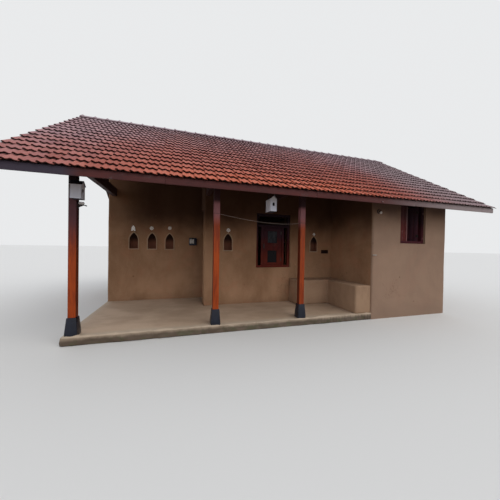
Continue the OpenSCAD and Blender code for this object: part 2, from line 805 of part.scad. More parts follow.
verandah_floor();
room_floor();
niche_wall();
over_door_wall();
middle_wall();
side_room_wall();
front_room_wall();
left_gable_wall();
right_gable_wall();
back_wall();
bench_back();
bench_side();
post(post_x[0]);  // post_1
post(post_x[1]);  // post_2
post(post_x[2]);  // post_3
footing(post_x[0]);  // post_footing_1
footing(post_x[1]);  // post_footing_2
footing(post_x[2]);  // post_footing_3
front_beam();
back_beam();
ridge_beam();
tie_beams();
rafters_front();
rafters_back();
laths_front();
laths_back();
tiles_front();
tiles_back();
ridge_tiles();
fascia_front();
fascia_back();
verge_board(-timber_len / 2 - verge_t);  // verge_board_left
verge_board(timber_len / 2);  // verge_board_right
door_frame();
middle_window_frame();
middle_window_leaf();
middle_window_panes();
room_window_frame();
room_window_shutters();
back_window_frames();
back_window_shutters();
nest_box_post();
nest_box_hung();
post_lamp();
wall_lamp();
switch_board();
clothes_line();
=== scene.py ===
# %% [markdown]
# # A mud house under a clay-tiled roof
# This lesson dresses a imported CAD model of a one-storey house: mud walls, a verandah on three varnished
# posts and a roof of red tiles. The CAD model is the measured truth, so every piece here takes its place
# from the model's own sizes. The steps go from the camera and the one loose cord to the finishes, then
# from the big forms (walls, roof) to the small ones (windows, boxes, lamps).

# %% Load the frame
import json
import random
from math import cos, hypot, pi, radians, sin, tan

import bmesh
import bpy
from mathutils import Matrix, Vector, noise

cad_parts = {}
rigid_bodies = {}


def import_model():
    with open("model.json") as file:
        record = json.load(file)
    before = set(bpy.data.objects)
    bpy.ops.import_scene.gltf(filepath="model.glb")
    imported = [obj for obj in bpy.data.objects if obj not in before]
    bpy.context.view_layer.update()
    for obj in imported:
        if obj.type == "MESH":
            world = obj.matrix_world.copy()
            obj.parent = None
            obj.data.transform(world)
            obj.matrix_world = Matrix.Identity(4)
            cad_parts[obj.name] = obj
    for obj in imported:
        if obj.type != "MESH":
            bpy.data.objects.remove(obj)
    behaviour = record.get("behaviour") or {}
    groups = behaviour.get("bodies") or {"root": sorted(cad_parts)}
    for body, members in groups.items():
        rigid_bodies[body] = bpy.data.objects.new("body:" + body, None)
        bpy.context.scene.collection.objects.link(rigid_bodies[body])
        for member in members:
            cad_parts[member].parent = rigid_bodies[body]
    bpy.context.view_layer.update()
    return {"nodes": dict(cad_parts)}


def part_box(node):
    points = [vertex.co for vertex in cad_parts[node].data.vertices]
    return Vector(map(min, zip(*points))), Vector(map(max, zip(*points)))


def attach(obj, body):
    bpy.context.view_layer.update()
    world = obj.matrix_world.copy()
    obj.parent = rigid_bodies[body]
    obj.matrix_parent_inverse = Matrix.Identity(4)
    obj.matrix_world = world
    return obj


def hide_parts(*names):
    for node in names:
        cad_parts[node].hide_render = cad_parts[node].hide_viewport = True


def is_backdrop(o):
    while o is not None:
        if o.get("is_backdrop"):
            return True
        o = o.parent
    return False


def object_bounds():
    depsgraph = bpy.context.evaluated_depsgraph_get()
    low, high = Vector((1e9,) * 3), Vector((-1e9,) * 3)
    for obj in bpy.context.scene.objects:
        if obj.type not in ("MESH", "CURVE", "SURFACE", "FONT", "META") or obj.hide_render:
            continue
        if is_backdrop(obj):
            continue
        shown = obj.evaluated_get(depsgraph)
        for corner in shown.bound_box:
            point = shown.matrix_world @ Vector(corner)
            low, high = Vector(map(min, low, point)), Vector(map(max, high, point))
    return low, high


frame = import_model()

# %% [markdown]
# ## The house's own sizes
# The model is in metres: X runs along the ridge to the right-hand room, -Y looks out of the verandah and
# Z is up. The sizes that the source names are repeated here, since the script reads nothing but the frame.

# %% Sizes that the pieces share
PLINTH = 0.15
WALL_LEFT, WALL_FRONT, WALL_BACK = -4.265, -2.925, 2.925
STEP_X, ROOM_X = -1.85, 1.885
MIDDLE_Y, NICHE_Y = -1.345, -0.365
POST_Y, POST_W = -2.83, 0.115
POSTS_X = (-4.115, -1.772, 0.067)
PITCH, RUN, EAVE_Z, ROOF_HALF = radians(33.5), 3.54, PLINTH + 2.545, 5.0
COURSES = 16
COURSE_LEN = RUN / cos(PITCH) / (COURSES + 0.5)
BEAM_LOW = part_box("post_1")[1].z
FRAME_IN, FRAME_DEP, FRAME_BAR = 0.05, 0.10, 0.06
SHUTTER_LEFT, SHUTTER_RIGHT = 3, 80
print("course", round(COURSE_LEN, 4), "beam underside", round(BEAM_LOW, 4))

# %% [markdown]
# ## The camera
# The picture was taken with a very wide lens, from 1.65 m above the ground, turned 17 degrees to the right
# of the house's own depth and rolled by one degree. Three angles give the camera's axes: `right` and
# `forward` come from the turn and the tilt, and the roll then turns `right` and `up` about `forward`.

# %% Camera
def put(name, data):
    """A new object, linked to the scene."""
    obj = bpy.data.objects.new(name, data)
    bpy.context.scene.collection.objects.link(obj)
    return obj


TURN, TILT, ROLL = (radians(a) for a in (16.737, -0.701, 1.012))
forward = Vector((sin(TURN) * cos(TILT), cos(TURN) * cos(TILT), sin(TILT)))
right = Vector((cos(TURN), -sin(TURN), 0))
up = right.cross(forward)
axes = Matrix((right * cos(ROLL) + up * sin(ROLL), up * cos(ROLL) - right * sin(ROLL), -forward)).transposed()
camera = put("camera", bpy.data.cameras.new("camera"))
camera.matrix_world = Matrix.Translation((-2.438, -7.317, 1.65)) @ axes.to_4x4()
camera.data.lens, camera.data.sensor_width = 16.73, 36
camera.data.clip_start, camera.data.clip_end = 0.05, 500
bpy.context.scene.camera = camera
print("camera looks along", [round(v, 3) for v in forward])

# %% [markdown]
# ## Node trees as Python
# A tree of nodes is hard to read when every link is a line of code. `Wire` wraps one output socket and
# takes part in expressions: `1 - mask` adds the Math node. `Nodes` builds the trees of finishes, of the sky
# and of the tiled roof, and one method, `node`, makes every other kind of node.

# %% Wires and nodes
class Wire:
    """An output of a node, which can be used in sums as a number can."""

    def __init__(self, nodes, socket):
        self.nodes, self.socket = nodes, socket

    def __add__(self, other):
        return self.nodes.maths("ADD", self, other)

    def __sub__(self, other):
        return self.nodes.maths("SUBTRACT", self, other)

    def __rsub__(self, other):
        return self.nodes.maths("SUBTRACT", other, self)

    def __mul__(self, other):
        return self.nodes.maths("MULTIPLY", self, other)

    __radd__, __rmul__ = __add__, __mul__


class Nodes:
    """Builds the nodes of one tree."""

    def __init__(self, tree):
        self.tree = tree

    def feed(self, socket, value):
        if isinstance(value, Wire):
            self.tree.links.new(value.socket, socket)
        elif isinstance(value, tuple) and len(value) == 3 and len(socket.default_value) == 4:
            socket.default_value = (*value, 1)
        else:
            socket.default_value = value

    def node(self, kind, settings=None, *values, out=None, **named):
        """Sets the settings first, then the inputs, in their order or by name, to values or wires."""
        made = self.tree.nodes.new(kind)
        for key, value in (settings or {}).items():
            if key == "stops":
                ramp = made.color_ramp.elements
                while len(ramp) < len(value):
                    ramp.new(0.5)
                for stop, (at, colour) in zip(ramp, value):
                    stop.position, stop.color = at, (*colour, 1)
            else:
                setattr(made, key, value)
        for socket, value in zip(made.inputs, values):
            self.feed(socket, value)
        for key, value in named.items():
            self.feed(next(s for s in made.inputs if s.enabled and s.name == key.replace("_", " ")), value)
        return Wire(self, next(s for s in made.outputs if s.enabled and out in (None, s.name)))

    def maths(self, operation, *values):
        return self.node("ShaderNodeMath", {"operation": operation}, *values)

    def moved(self, vector, other):
        """The sum of two vectors."""
        return self.node("ShaderNodeVectorMath", {"operation": "ADD"}, vector, other)

    def mix(self, share, first, second):
        """Two colours, mixed by a share from 0 to 1."""
        return self.node("ShaderNodeMix", {"data_type": "RGBA"}, Factor=share, A=first, B=second)


# %% [markdown]
# ## Finishes as Python
# A finish is a Principled shader with a few constants and the nodes that feed it. All finishes here are made
# of the same things, so each is a short method: noise, smooth steps along an axis, bands of tint and a bump.
# The patterns follow the object's own coordinates, so nothing has to be unwrapped.

# %% Finishes
class Finish(Nodes):
    """A material: a Principled shader with its constants, and the nodes that feed it."""

    def __init__(self, name, **constants):
        self.material = bpy.data.materials.new(name)
        self.material.use_nodes = True
        super().__init__(self.material.node_tree)
        self.shader = self.tree.nodes["Principled BSDF"]
        for key, value in constants.items():
            self.shader.inputs[key.replace("_", " ")].default_value = value
        self.place = self.node("ShaderNodeTexCoord", out="Object")

    def stretched(self, *scale):
        """The object's coordinates, with each axis scaled: a small scale draws a pattern out along it."""
        return self.node("ShaderNodeMapping", Vector=self.place, Scale=scale)

    def grain(self, scale, detail=3.0, rough=0.55, place=None, warp=0.0):
        return self.node("ShaderNodeTexNoise", Vector=place or self.place, Scale=scale, Detail=detail,
                         Roughness=rough, Distortion=warp)

    def cells(self, scale, feature="F1", place=None):
        return self.node("ShaderNodeTexVoronoi", {"feature": feature}, Vector=place or self.place,
                         Scale=scale)

    def between(self, wire, low, high, low_out=0.0, high_out=1.0):
        """A smooth step: low_out below low, high_out above high."""
        return self.node("ShaderNodeMapRange", {"interpolation_type": "SMOOTHSTEP"},
                         wire, low, high, low_out, high_out)

    def axis(self, letter):
        return self.node("ShaderNodeSeparateXYZ", {}, self.place, out=letter)

    def step(self, letter, low, high, *outs):
        """A smooth step along one of the object's axes."""
        return self.between(self.axis(letter), low, high, *outs)

    def attribute(self, name):
        return self.node("ShaderNodeAttribute", {"attribute_name": name}, out="Fac")

    def tint(self, colour, bands):
        """A band is a share, a colour and the steps (axis, none below, all above) that say where it goes."""
        for share, wanted, *steps in bands:
            for letter, none, whole in steps:
                share = self.step(letter, none, whole) * share
            colour = self.mix(share, colour, wanted)
        return colour

    def bump(self, height, distance):
        self.feed(self.shader.inputs["Normal"], self.node("ShaderNodeBump", Height=height, Distance=distance))

    def show(self, colour, rough=None):
        self.feed(self.shader.inputs["Base Color"], colour)
        if rough is not None:
            self.feed(self.shader.inputs["Roughness"], rough)
        return self.material


# %% [markdown]
# ## Putting a mesh into the scene
# Every piece goes through `piece`: the mesh gets its finish, faces that meet at a wide angle are shaded
# smooth, the object rides on the one body of the house, and the CAD node that it stands for is hidden.

# %% Helper: from bmesh to piece
def plain_mesh(obj):
    """Runs the object's modifiers and leaves their result as its mesh."""
    depsgraph = bpy.context.evaluated_depsgraph_get()
    mesh = bpy.data.meshes.new_from_object(obj.evaluated_get(depsgraph), depsgraph=depsgraph)
    obj.modifiers.clear()
    obj.data = mesh
    return obj


def mesh_from(name, bm):
    mesh = bpy.data.meshes.new(name)
    bm.to_mesh(mesh)
    bm.free()
    return mesh


def soften(bm, angle=35):
    """Shades the faces smooth across each edge that turns by less than the angle."""
    for face in bm.faces:
        face.smooth = True
    for edge in bm.edges:
        edge.smooth = len(edge.link_faces) == 2 and edge.calc_face_angle(0) < radians(angle)


def hand_over(obj, stands_for=()):
    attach(obj, "root")
    if stands_for:
        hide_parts(*stands_for)
    return obj


def piece(name, bm, finishes, stands_for=(), weigh=False):
    soften(bm)
    obj = put(name, mesh_from(name, bm))
    for finish in finishes if isinstance(finishes, list) else [finishes]:
        obj.data.materials.append(finish)
    if weigh:
        obj.modifiers.new("normals", "WEIGHTED_NORMAL").keep_sharp = True
        plain_mesh(obj)
    print(name, len(obj.data.polygons), "faces")
    return hand_over(obj, stands_for)


# %% Helper: boxes, prisms and rods in a bmesh
def toned(faces, tone):
    """Gives faces their finish, by its number in the piece's list."""
    for face in faces:
        face.material_index = tone


def face_out(bm, faces):
    bmesh.ops.recalc_face_normals(bm, faces=faces)


def add_box(bm, low, high, place=Matrix(), tone=0):
    made = bmesh.ops.create_cube(bm, size=1)["verts"]
    for v in made:
        v.co = place @ Vector([(a + b) / 2 + c * (b - a) for a, b, c in zip(Vector(low), Vector(high), v.co)])
    toned({f for v in made for f in v.link_faces}, tone)


def add_prism(bm, outline, start, end, lift):
    """A solid between two copies of an outline; lift(point, depth) puts an outline point in space."""
    near, far = ([bm.verts.new(lift(p, d)) for p in outline] for d in (start, end))
    faces = [bm.faces.new(near), bm.faces.new(far[::-1])]
    faces += [bm.faces.new(corners) for corners in zip(near, far, far[1:] + far[:1], near[1:] + near[:1])]
    face_out(bm, faces)


def add_rod(bm, start, end, radius, sides=10, end_radius=None, tone=0):
    start, end = Vector(start), Vector(end)
    turn = (end - start).to_track_quat("Z", "Y").to_matrix().to_4x4()
    made = bmesh.ops.create_cone(bm, cap_ends=True, segments=sides, radius1=radius,
                                 radius2=end_radius or radius, depth=(end - start).length,
                                 matrix=Matrix.Translation((start + end) / 2) @ turn)["verts"]
    toned({f for v in made for f in v.link_faces}, tone)


# %% Helper: rings, rounded edges and copies of CAD nodes
def bridge(bm, rings):
    """Faces between each ring of vertices and the next one; a ring of one vertex is a tip."""
    made = []
    for a, b in zip(rings, rings[1:]):
        for k in range(max(len(a), len(b))):
            corners = [a[k % len(a)], a[(k + 1) % len(a)], b[(k + 1) % len(b)], b[k % len(b)]]
            made.append(bm.faces.new(list(dict.fromkeys(corners))))
    return made


def round_edges(bm, width, segments=2, sharper_than=40, which=lambda edge: True):
    edges = [e for e in bm.edges if len(e.link_faces) == 2
             and e.calc_face_angle(0) > radians(sharper_than) and which(e)]
    bmesh.ops.bevel(bm, geom=edges, offset=width, segments=segments, profile=0.5, affect="EDGES",
                    clamp_overlap=True)


def flattened(mesh, reach):
    """A bmesh of the mesh, its doubled corners merged and its loose triangles made flat faces again."""
    bm = bmesh.new()
    bm.from_mesh(mesh)
    bmesh.ops.remove_doubles(bm, verts=bm.verts, dist=reach)
    bmesh.ops.dissolve_limit(bm, angle_limit=radians(0.5), verts=bm.verts, edges=bm.edges)
    return bm


def copy_of(node):
    bm = flattened(frame["nodes"][node].data, 1e-5)
    toned(bm.faces, 0)
    return bm


# %% [markdown]
# ## The clothes line
# The one free cord of the house is a thin line from the second post to the third. It is tied at both
# ends and sags between them. Its points are the route that the CAD source sweeps, so the cord lies in its
# own solid. A bezier or NURBS curve would only pass near its points, so this one is a poly curve with the
# same in-between points that the source works out.

# %% Clothes line: twisted cotton
def twine(name, deep, pale):
    t = Finish(name, Roughness=0.9)
    strands = t.node("ShaderNodeTexWave", {"wave_type": "BANDS", "bands_direction": "DIAGONAL"},
                     Vector=t.place, Scale=120.0, Distortion=0.4)
    t.bump(strands, 0.0008)
    return t.show(t.mix(strands * 0.6 + t.grain(9) * 0.4, deep, pale))


twine_look = twine("twine", (0.24, 0.18, 0.16), (0.54, 0.44, 0.40))
tie_look = twine("greasy_twine", (0.09, 0.05, 0.045), (0.20, 0.12, 0.11))

LINE_HEIGHTS = (2133, 2112, 2092, 2073, 2056, 2040, 2027, 2016, 2007, 2001, 1998, 1998, 2001, 2009)
LINE_ROUTE = [(120 * k, z) for k, z in enumerate(LINE_HEIGHTS)] + [(1650, 2020), (1724, 2036)]
LINE_STEPS, LINE_D = 4, 0.006


def in_between(a, b, c, d, t):
    """A smooth curve from b to c, where a and d are the points before and after them."""
    return (2 * b + (c - a) * t + (2 * a - 5 * b + 4 * c - d) * t * t
            + (3 * b - a - 3 * c + d) * t * t * t) / 2


route = []
for i in range(len(LINE_ROUTE) - 1):
    near = [LINE_ROUTE[min(max(i + k, 0), len(LINE_ROUTE) - 1)] for k in (-1, 0, 1, 2)]
    route += [tuple(in_between(*(p[n] for p in near), k / LINE_STEPS) for n in (0, 1))
              for k in range(LINE_STEPS)]
route.append(LINE_ROUTE[-1])
line_points = [Vector((POSTS_X[1] + POST_W / 2 + x / 1000, POST_Y, PLINTH + z / 1000)) for x, z in route]

line_curve = bpy.data.curves.new("clothes_cord", "CURVE")
line_curve.dimensions = "3D"
line_curve.bevel_depth, line_curve.bevel_resolution, line_curve.use_fill_caps = LINE_D / 2, 3, True
spline = line_curve.splines.new("POLY")
spline.points.add(len(line_points) - 1)
for point, at in zip(spline.points, line_points):
    point.co = (*at, 1)
line_curve.materials.append(twine_look)
clothes_cord = hand_over(put("clothes_cord", line_curve), ["clothes_line"])

# %% The ties round the two posts, and the knots
TIE_R, TIE_SIDES = 0.003, 6


def add_tie(bm, x, z, turns):
    """Turns of line round a post, each a closed loop that follows its chamfered corners."""
    half, cut = POST_W / 2 + TIE_R * 0.6, 0.012
    corners = [(-half, -half + cut), (-half + cut, -half), (half - cut, -half), (half, -half + cut),
               (half, half - cut), (half - cut, half), (-half + cut, half), (-half, half - cut)]
    for turn in range(turns):
        rings = []
        for k, (cx, cy) in enumerate(corners):
            out = Vector((cx, cy, 0)).normalized()
            at = Vector((x + cx, POST_Y + cy, z + turn * TIE_R * 1.7 + 0.003 * sin(k * 1.3 + turn)))
            rings.append([bm.verts.new(at + out * TIE_R * cos(a) + Vector((0, 0, TIE_R * sin(a))))
                          for a in (radians(s * 360 / TIE_SIDES) for s in range(TIE_SIDES))])
        bridge(bm, rings + rings[:1])


ties, knots = bmesh.new(), bmesh.new()
for x, at, low, turns, radius in ((POSTS_X[1], line_points[0], 0.004, 2, 0.011),
                                  (POSTS_X[2], line_points[-1], 0.008, 3, 0.012)):
    add_tie(ties, x, at.z - low, turns)
    bmesh.ops.create_uvsphere(knots, u_segments=10, v_segments=8, radius=radius,
                              matrix=Matrix.Translation(at))
face_out(ties, ties.faces)
piece("cord_ties", ties, tie_look)
cord_knots = piece("cord_knots", knots, tie_look)

# %% [markdown]
# ## Mud plaster
# The walls are earth, cow dung and chopped straw, smoothed by hand. Up close there are three scales: broad
# stains where coats dried at different speeds, trowel-wide streaks, and fine grit with straw flecks. Rain
# splash darkens the foot of a wall, and hairline cracks run mostly upright. One function makes the mud in
# several colours, because the benches and the niches' rims are other coats of the same stuff. The walls'
# tops under the verandah's roof and under the front eave are darkened as painted shade with some smoke,
# and a darker coat gives the insides of the niches painted shade with lamp soot.

# %% Mud finishes
def times(colour, *shares):
    """The colour with each of its three parts multiplied, by one share or by a share each."""
    return tuple(c * k for c, k in zip(colour, shares * (3 // len(shares))))


def painted_shade_and_smoke(m, colour, shade_and_soot, height):
    """Painted shade and smoke under the verandah's roof, a paler coat away from it, painted shade under the
    front eave.
    """
    front = m.step("Y", -2.86, -2.91)
    verandah = ((1 - front) * m.step("Y", 0.10, 0.00) * m.step("X", 1.93, 1.90) * m.step("X", -4.263, -4.258))
    drift = m.grain(1.4, 3) * 0.5
    # Painted shade with some smoke: the tops of the walls under the verandah's roof grow dark.
    shade_and_smoke = m.between(height + drift, 1.95, 2.85) * verandah * m.step("X", -4.2, -3.2, 0.55, 1)
    colour = m.mix(shade_and_smoke * shade_and_soot, colour, (0.022, 0.0058, 0.0038))
    colour = m.mix((1 - verandah) * 0.60, colour, (0.310, 0.228, 0.182))
    # Painted shade under the front eave, on the tops of the front walls.
    return m.mix(m.between(height + drift, 2.55, 2.95) * front * 0.7, colour, (0.100, 0.066, 0.064))


def mud(name, pale, deep, splash=0.35, cracks=1.0, shade_and_soot=0.0, bands=()):
    m = Finish(name, Roughness=0.93, Specular_IOR_Level=0.2)
    stains = m.grain(0.9, 4, 0.6, warp=0.8)
    streaks = m.grain(2.2, 3, 0.6, m.stretched(1, 1, 0.45))
    grit = m.grain(70, 4, 0.7)
    flecks = m.between(m.grain(38, 2, 0.5, m.stretched(1, 1, 0.25), warp=2.0), 0.66, 0.72)
    tone = m.between(stains * 0.5 + streaks * 0.35 + grit * 0.15, 0.36, 0.64)
    colour = m.mix(flecks * 0.35, m.mix(tone, deep, pale), times(pale, 1.35))
    blush = m.between(m.grain(1.6, 3, 0.6, warp=1.0), 0.50, 0.66) * 0.28
    colour = m.mix(blush, colour, times(pale, 1.02, 0.80, 0.78))
    height = m.axis("Z")
    wet = m.between(height + m.grain(3, 3) * 0.35, 0.62, 0.30) * splash
    colour = m.mix(wet, colour, times(deep, 0.62))
    if shade_and_soot:
        colour = painted_shade_and_smoke(m, colour, shade_and_soot, height)
    warped = m.moved(m.stretched(1, 1, 0.42),
                     m.node("ShaderNodeTexNoise", Vector=m.place, Scale=3.0, Detail=3.0, out="Color"))
    seams = m.cells(1.15, "DISTANCE_TO_EDGE", warped)
    crack = m.between(seams, 0.010, 0.002) * m.between(m.grain(0.55, 2), 0.54, 0.62) * cracks
    pits = m.between(m.cells(2.3), 0.060, 0.035) * m.between(m.grain(0.7, 2), 0.46, 0.54)
    for hollow, share in ((crack, 0.28), (pits, 0.55)):
        colour = m.mix(hollow * share, colour, times(deep, 0.5))
    m.bump(stains * 0.5 + streaks * 0.6 + grit * 0.22 - crack * 0.25, 0.008)
    return m.show(m.tint(colour, bands), m.between(tone, 0.0, 1.0, 0.96, 0.86))


wall_mud = mud("wall_mud", (0.442, 0.259, 0.151), (0.297, 0.164, 0.090), shade_and_soot=0.85)
bench_mud = mud("bench_mud", (0.405, 0.264, 0.170), (0.285, 0.177, 0.112), splash=0.1)
rim_mud = mud("rim_mud", (0.49, 0.34, 0.23), (0.37, 0.25, 0.165), splash=0.0, cracks=0.0)
# Painted shade with lamp soot for the insides of the niches and the wall slot: near black at the niches' tops
# and in the slot.
soot_mud = mud("soot_mud", (0.300, 0.130, 0.080), (0.210, 0.090, 0.055), splash=0.0, cracks=0.0, bands=[
    (0.95, (0.030, 0.015, 0.012), ("Z", 1.70, 1.88)), (0.95, (0.040, 0.020, 0.015), ("X", 1.48, 1.54))])

# %% [markdown]
# ## Beaten floor
# The verandah's floor is greyer than the walls, polished by feet and worn pale along its front edge. The
# edge is found from the coordinates: how near a point is to the floor's front line or to its left line.
# Below the lip the front face is darkened as painted shade, with moss low down, and to the right the joints
# of its standing bricks show through.

# %% Floor finish
f = Finish("beaten_floor", Roughness=0.8)
patches = f.grain(0.8, 4, 0.6, warp=0.6)
scuffs = f.grain(4.5, 3, 0.6, f.stretched(0.5, 1, 1))
dust = f.grain(60, 3, 0.7)
colour = f.mix(f.between(patches * 0.55 + scuffs * 0.3 + dust * 0.15, 0.36, 0.62),
               (0.405, 0.285, 0.195), (0.545, 0.398, 0.285))
fray = f.grain(5, 3) * 0.10
edge = (f.between(f.axis("Y") * -1 + fray, -WALL_FRONT - 0.17, -WALL_FRONT + 0.01)
        + f.between(f.axis("X") * -1 + fray, -WALL_LEFT - 0.13, -WALL_LEFT + 0.01))
colour = f.mix(edge * 0.6, colour, (0.50, 0.41, 0.31))
# Painted shade on the front face under the lip, and near the ground painted shade with moss.
colour = f.mix(f.step("Z", 0.146, 0.128) * f.step("Y", -2.90, -2.92) * 0.75, colour, (0.265, 0.200, 0.143))
shaded_low_side = f.between(f.axis("Z") + f.grain(9, 4, 0.65) * 0.06, 0.160, 0.105)
moss_and_shade = f.mix(f.between(f.grain(5, 4, 0.65), 0.46, 0.62), (0.088, 0.060, 0.042), (0.062, 0.060, 0.028))
colour = f.mix(shaded_low_side * 0.85, colour, moss_and_shade)
brick = f.maths("FRACT", f.axis("X") * 12.8 + f.grain(8, 2) * 0.4)
joint = f.between(brick, 0.80, 0.90) * f.step("Z", 0.142, 0.120) * f.step("X", 0.2, 0.7)
colour = f.mix(joint * f.step("Y", -2.84, -2.87) * 0.6, colour, (0.060, 0.046, 0.030))
f.bump(patches * 0.6 + scuffs * 0.5 + dust * 0.2 - joint * 0.8, 0.006)
floor_look = f.show(colour, f.between(patches, 0.3, 0.7, 0.62, 0.88))

# %% [markdown]
# ## The mud shell
# In CAD the walls are straight-sided solids. Real ones are one skin without seams, with soft arrises
# and a surface that waves by a few millimetres. So the wall nodes are joined by a Boolean union, their
# edges are rounded, the skin is cut into a grid of small squares and each corner of it is pushed in or out
# by smooth noise. A voxel remesh would have eaten the niches' points, and the cuts keep them crisp.

# %% Joining CAD nodes into one skin
def union_of(nodes):
    parts = [bpy.data.objects.new("part", mesh_from("part", copy_of(node))) for node in nodes]
    bpy.context.scene.collection.objects.link(parts[0])
    others = bpy.data.collections.new("others")
    for part in parts[1:]:
        others.objects.link(part)
    union = parts[0].modifiers.new("union", "BOOLEAN")
    union.operation, union.operand_type, union.solver = "UNION", "COLLECTION", "EXACT"
    union.collection = others
    bm = flattened(plain_mesh(parts[0]).data, 2e-4)
    for part in parts:
        bpy.data.objects.remove(part)
    bpy.data.collections.remove(others)
    return bm


def cut_grid(bm, step, which=lambda co: True):
    """Cuts the chosen faces along planes that lie step apart on the three axes."""
    spans = [(min(v.co[k] for v in bm.verts), max(v.co[k] for v in bm.verts)) for k in range(3)]
    for k, (low, high) in enumerate(spans):
        normal = Vector((k == 0, k == 1, k == 2))
        at = low + step * 0.53
        while at < high:
            faces = [f for f in bm.faces if which(f.calc_center_median())]
            bmesh.ops.bisect_plane(bm, geom=list({g for f in faces for g in (f, *f.edges, *f.verts)}),
                                   dist=1e-5, plane_co=normal * at, plane_no=normal)
            at += step


def wave(bm, depth, size=0.9, keep=lambda co: False):
    """Pushes each vertex along its normal by smooth noise, a broad wave with a smaller one on it."""
    bm.normal_update()
    for v in bm.verts:
        if not keep(v.co):
            at = v.co / size
            v.co += v.normal * depth * (noise.noise(at) + 0.5 * noise.noise(at * 3.1 + Vector((7, 3, 5))))


# %% The walls' skin
WALLS = ["niche_wall", "over_door_wall", "middle_wall", "side_room_wall", "front_room_wall",
         "left_gable_wall", "right_gable_wall", "back_wall"]
NICHE_X = [(WALL_LEFT + 0.62 + 0.46 * i, NICHE_Y) for i in range(3)]
NICHE_X += [(STEP_X + 0.603, MIDDLE_Y), (ROOM_X - 0.595, MIDDLE_Y)]
NICHE_LOW, NICHE_HIGH, NICHE_HALF, RIM_W = PLINTH + 1.41, PLINTH + 1.84, 0.105, 0.028
SLOT_X, SLOT_Z, SLOT_HALF, SLOT_HALF_H = ROOM_X - 0.214, 1.5525, 0.13, 0.06
RIM_MUD, SOOT_AND_SHADE_MUD = 1, 2


def near_niche(co, spare=0.05):
    return any(abs(co.x - x) < NICHE_HALF + spare and NICHE_LOW - spare < co.z < NICHE_HIGH + spare
               and y - 0.03 < co.y < y + 0.17 for x, y in NICHE_X)


def niche_edge(edge):
    return near_niche((edge.verts[0].co + edge.verts[1].co) / 2)


def long_arris(edge):
    """Corners of the walls below the beams; an inner corner is rounded only where it is long."""
    return (not niche_edge(edge) and max(v.co.z for v in edge.verts) < BEAM_LOW + 0.01
            and edge.calc_length() > (0.05 if edge.is_convex else 0.5))


walls = union_of(WALLS)
round_edges(walls, 0.016, which=long_arris)
round_edges(walls, 0.004, which=niche_edge)
cut_grid(walls, 0.12)
wave(walls, 0.006, keep=lambda co: near_niche(co) or co.z < 0.005)
for face in walls.faces:
    at = face.calc_center_median()
    # Rims take the paler coat. The insides of the niches and of the wall slot take painted shade with soot.
    if near_niche(at, 0.035):
        y = NICHE_Y if at.x < STEP_X else MIDDLE_Y
        if at.y < y - 0.005 and near_niche(at, RIM_W + 0.001):
            face.material_index = RIM_MUD
        elif at.y > y + 0.012:
            face.material_index = SOOT_AND_SHADE_MUD
    elif (abs(at.x - SLOT_X) < SLOT_HALF and abs(at.z - SLOT_Z) < SLOT_HALF_H
          and MIDDLE_Y + 0.008 < at.y < MIDDLE_Y + 0.16):
        face.material_index = SOOT_AND_SHADE_MUD
piece("mud_walls", walls, [wall_mud, rim_mud, soot_mud], WALLS, weigh=True)

# %% The benches and the floors
benches = union_of(["bench_back", "bench_side"])
round_edges(benches, 0.028, 3)
cut_grid(benches, 0.1)
wave(benches, 0.006)
piece("mud_benches", benches, bench_mud, ["bench_back", "bench_side"], weigh=True)

deck = copy_of("verandah_floor")
round_edges(deck, 0.018)
cut_grid(deck, 0.12)
wave(deck, 0.004, keep=lambda co: co.z < 0.01)
cut_grid(deck, 0.035, lambda co: co.y < WALL_FRONT + 0.05)
for depth, size in ((0.030, 0.3), (0.012, 0.09)):
    wave(deck, depth, size, lambda co: co.y > WALL_FRONT + 0.02 or co.z < 0.01)
piece("verandah_deck", deck, floor_look, ["verandah_floor"], weigh=True)

# %% [markdown]
# ## Painted motifs
# Above each lamp niche there is a small white figure, pressed in relief and limewashed: a tent shape over
# the first niche and round blooms over the others. They are thin solids on the wall, a few millimetres
# proud, and each bloom is a ring of petals round a button.

# %% Helper: a finish of two colours
def speckled(name, figure, span, colours, rough=None, relief=0.0, **constants):
    """One noise (scale, detail, roughness) blends two colours, varies the gloss and makes the relief."""
    s = Finish(name, **constants)
    specks = s.grain(*figure)
    if relief:
        s.bump(specks, relief)
    share = s.between(specks, *span) if span else specks
    return s.show(s.mix(share, *colours), s.between(specks, *rough) if rough else None)


limewash = speckled("limewash", (45, 4, 0.6), (0.40, 0.60), ((0.86, 0.84, 0.80), (0.98, 0.97, 0.95)),
                    relief=0.001, Roughness=0.85)

# %% Motifs above the niches
SUNK = -0.004


def add_bloom(bm, x, y, z, radius, petals=8):
    def lift(point, depth):
        return (x + point[0], y - depth, z + point[1])
    for k in range(petals):
        a = 2 * pi * k / petals
        outline = []
        for s in range(10):
            t = 2 * pi * s / 10
            along, across = 0.36 * radius * cos(t), 0.20 * radius * sin(t)
            outline.append((0.62 * radius * cos(a) + along * cos(a) - across * sin(a),
                            0.62 * radius * sin(a) + along * sin(a) + across * cos(a)))
        add_prism(bm, outline, SUNK, 0.006, lift)
    add_prism(bm, [(0.2 * radius * cos(t * pi / 6), 0.2 * radius * sin(t * pi / 6)) for t in range(12)],
              SUNK, 0.009, lift)


motifs = bmesh.new()
for x, y, z, radius in [(-3.199, NICHE_Y, 2.124, 0.058), (-2.725, NICHE_Y, 2.148, 0.055),
                        (-1.239, MIDDLE_Y, 2.079, 0.057), (1.299, MIDDLE_Y, 2.056, 0.046)]:
    add_bloom(motifs, x, y, z, radius)
tent = [(-0.054, -0.07), (-0.016, -0.07), (-0.010, -0.045), (0.010, -0.045), (0.016, -0.07), (0.054, -0.07),
        (0.040, 0.03), (0.0, 0.085), (-0.040, 0.03)]
add_prism(motifs, tent, SUNK, 0.007, lambda p, d: (-3.661 + p[0], NICHE_Y - d, 2.105 + p[1]))
piece("wall_motifs", motifs, limewash)
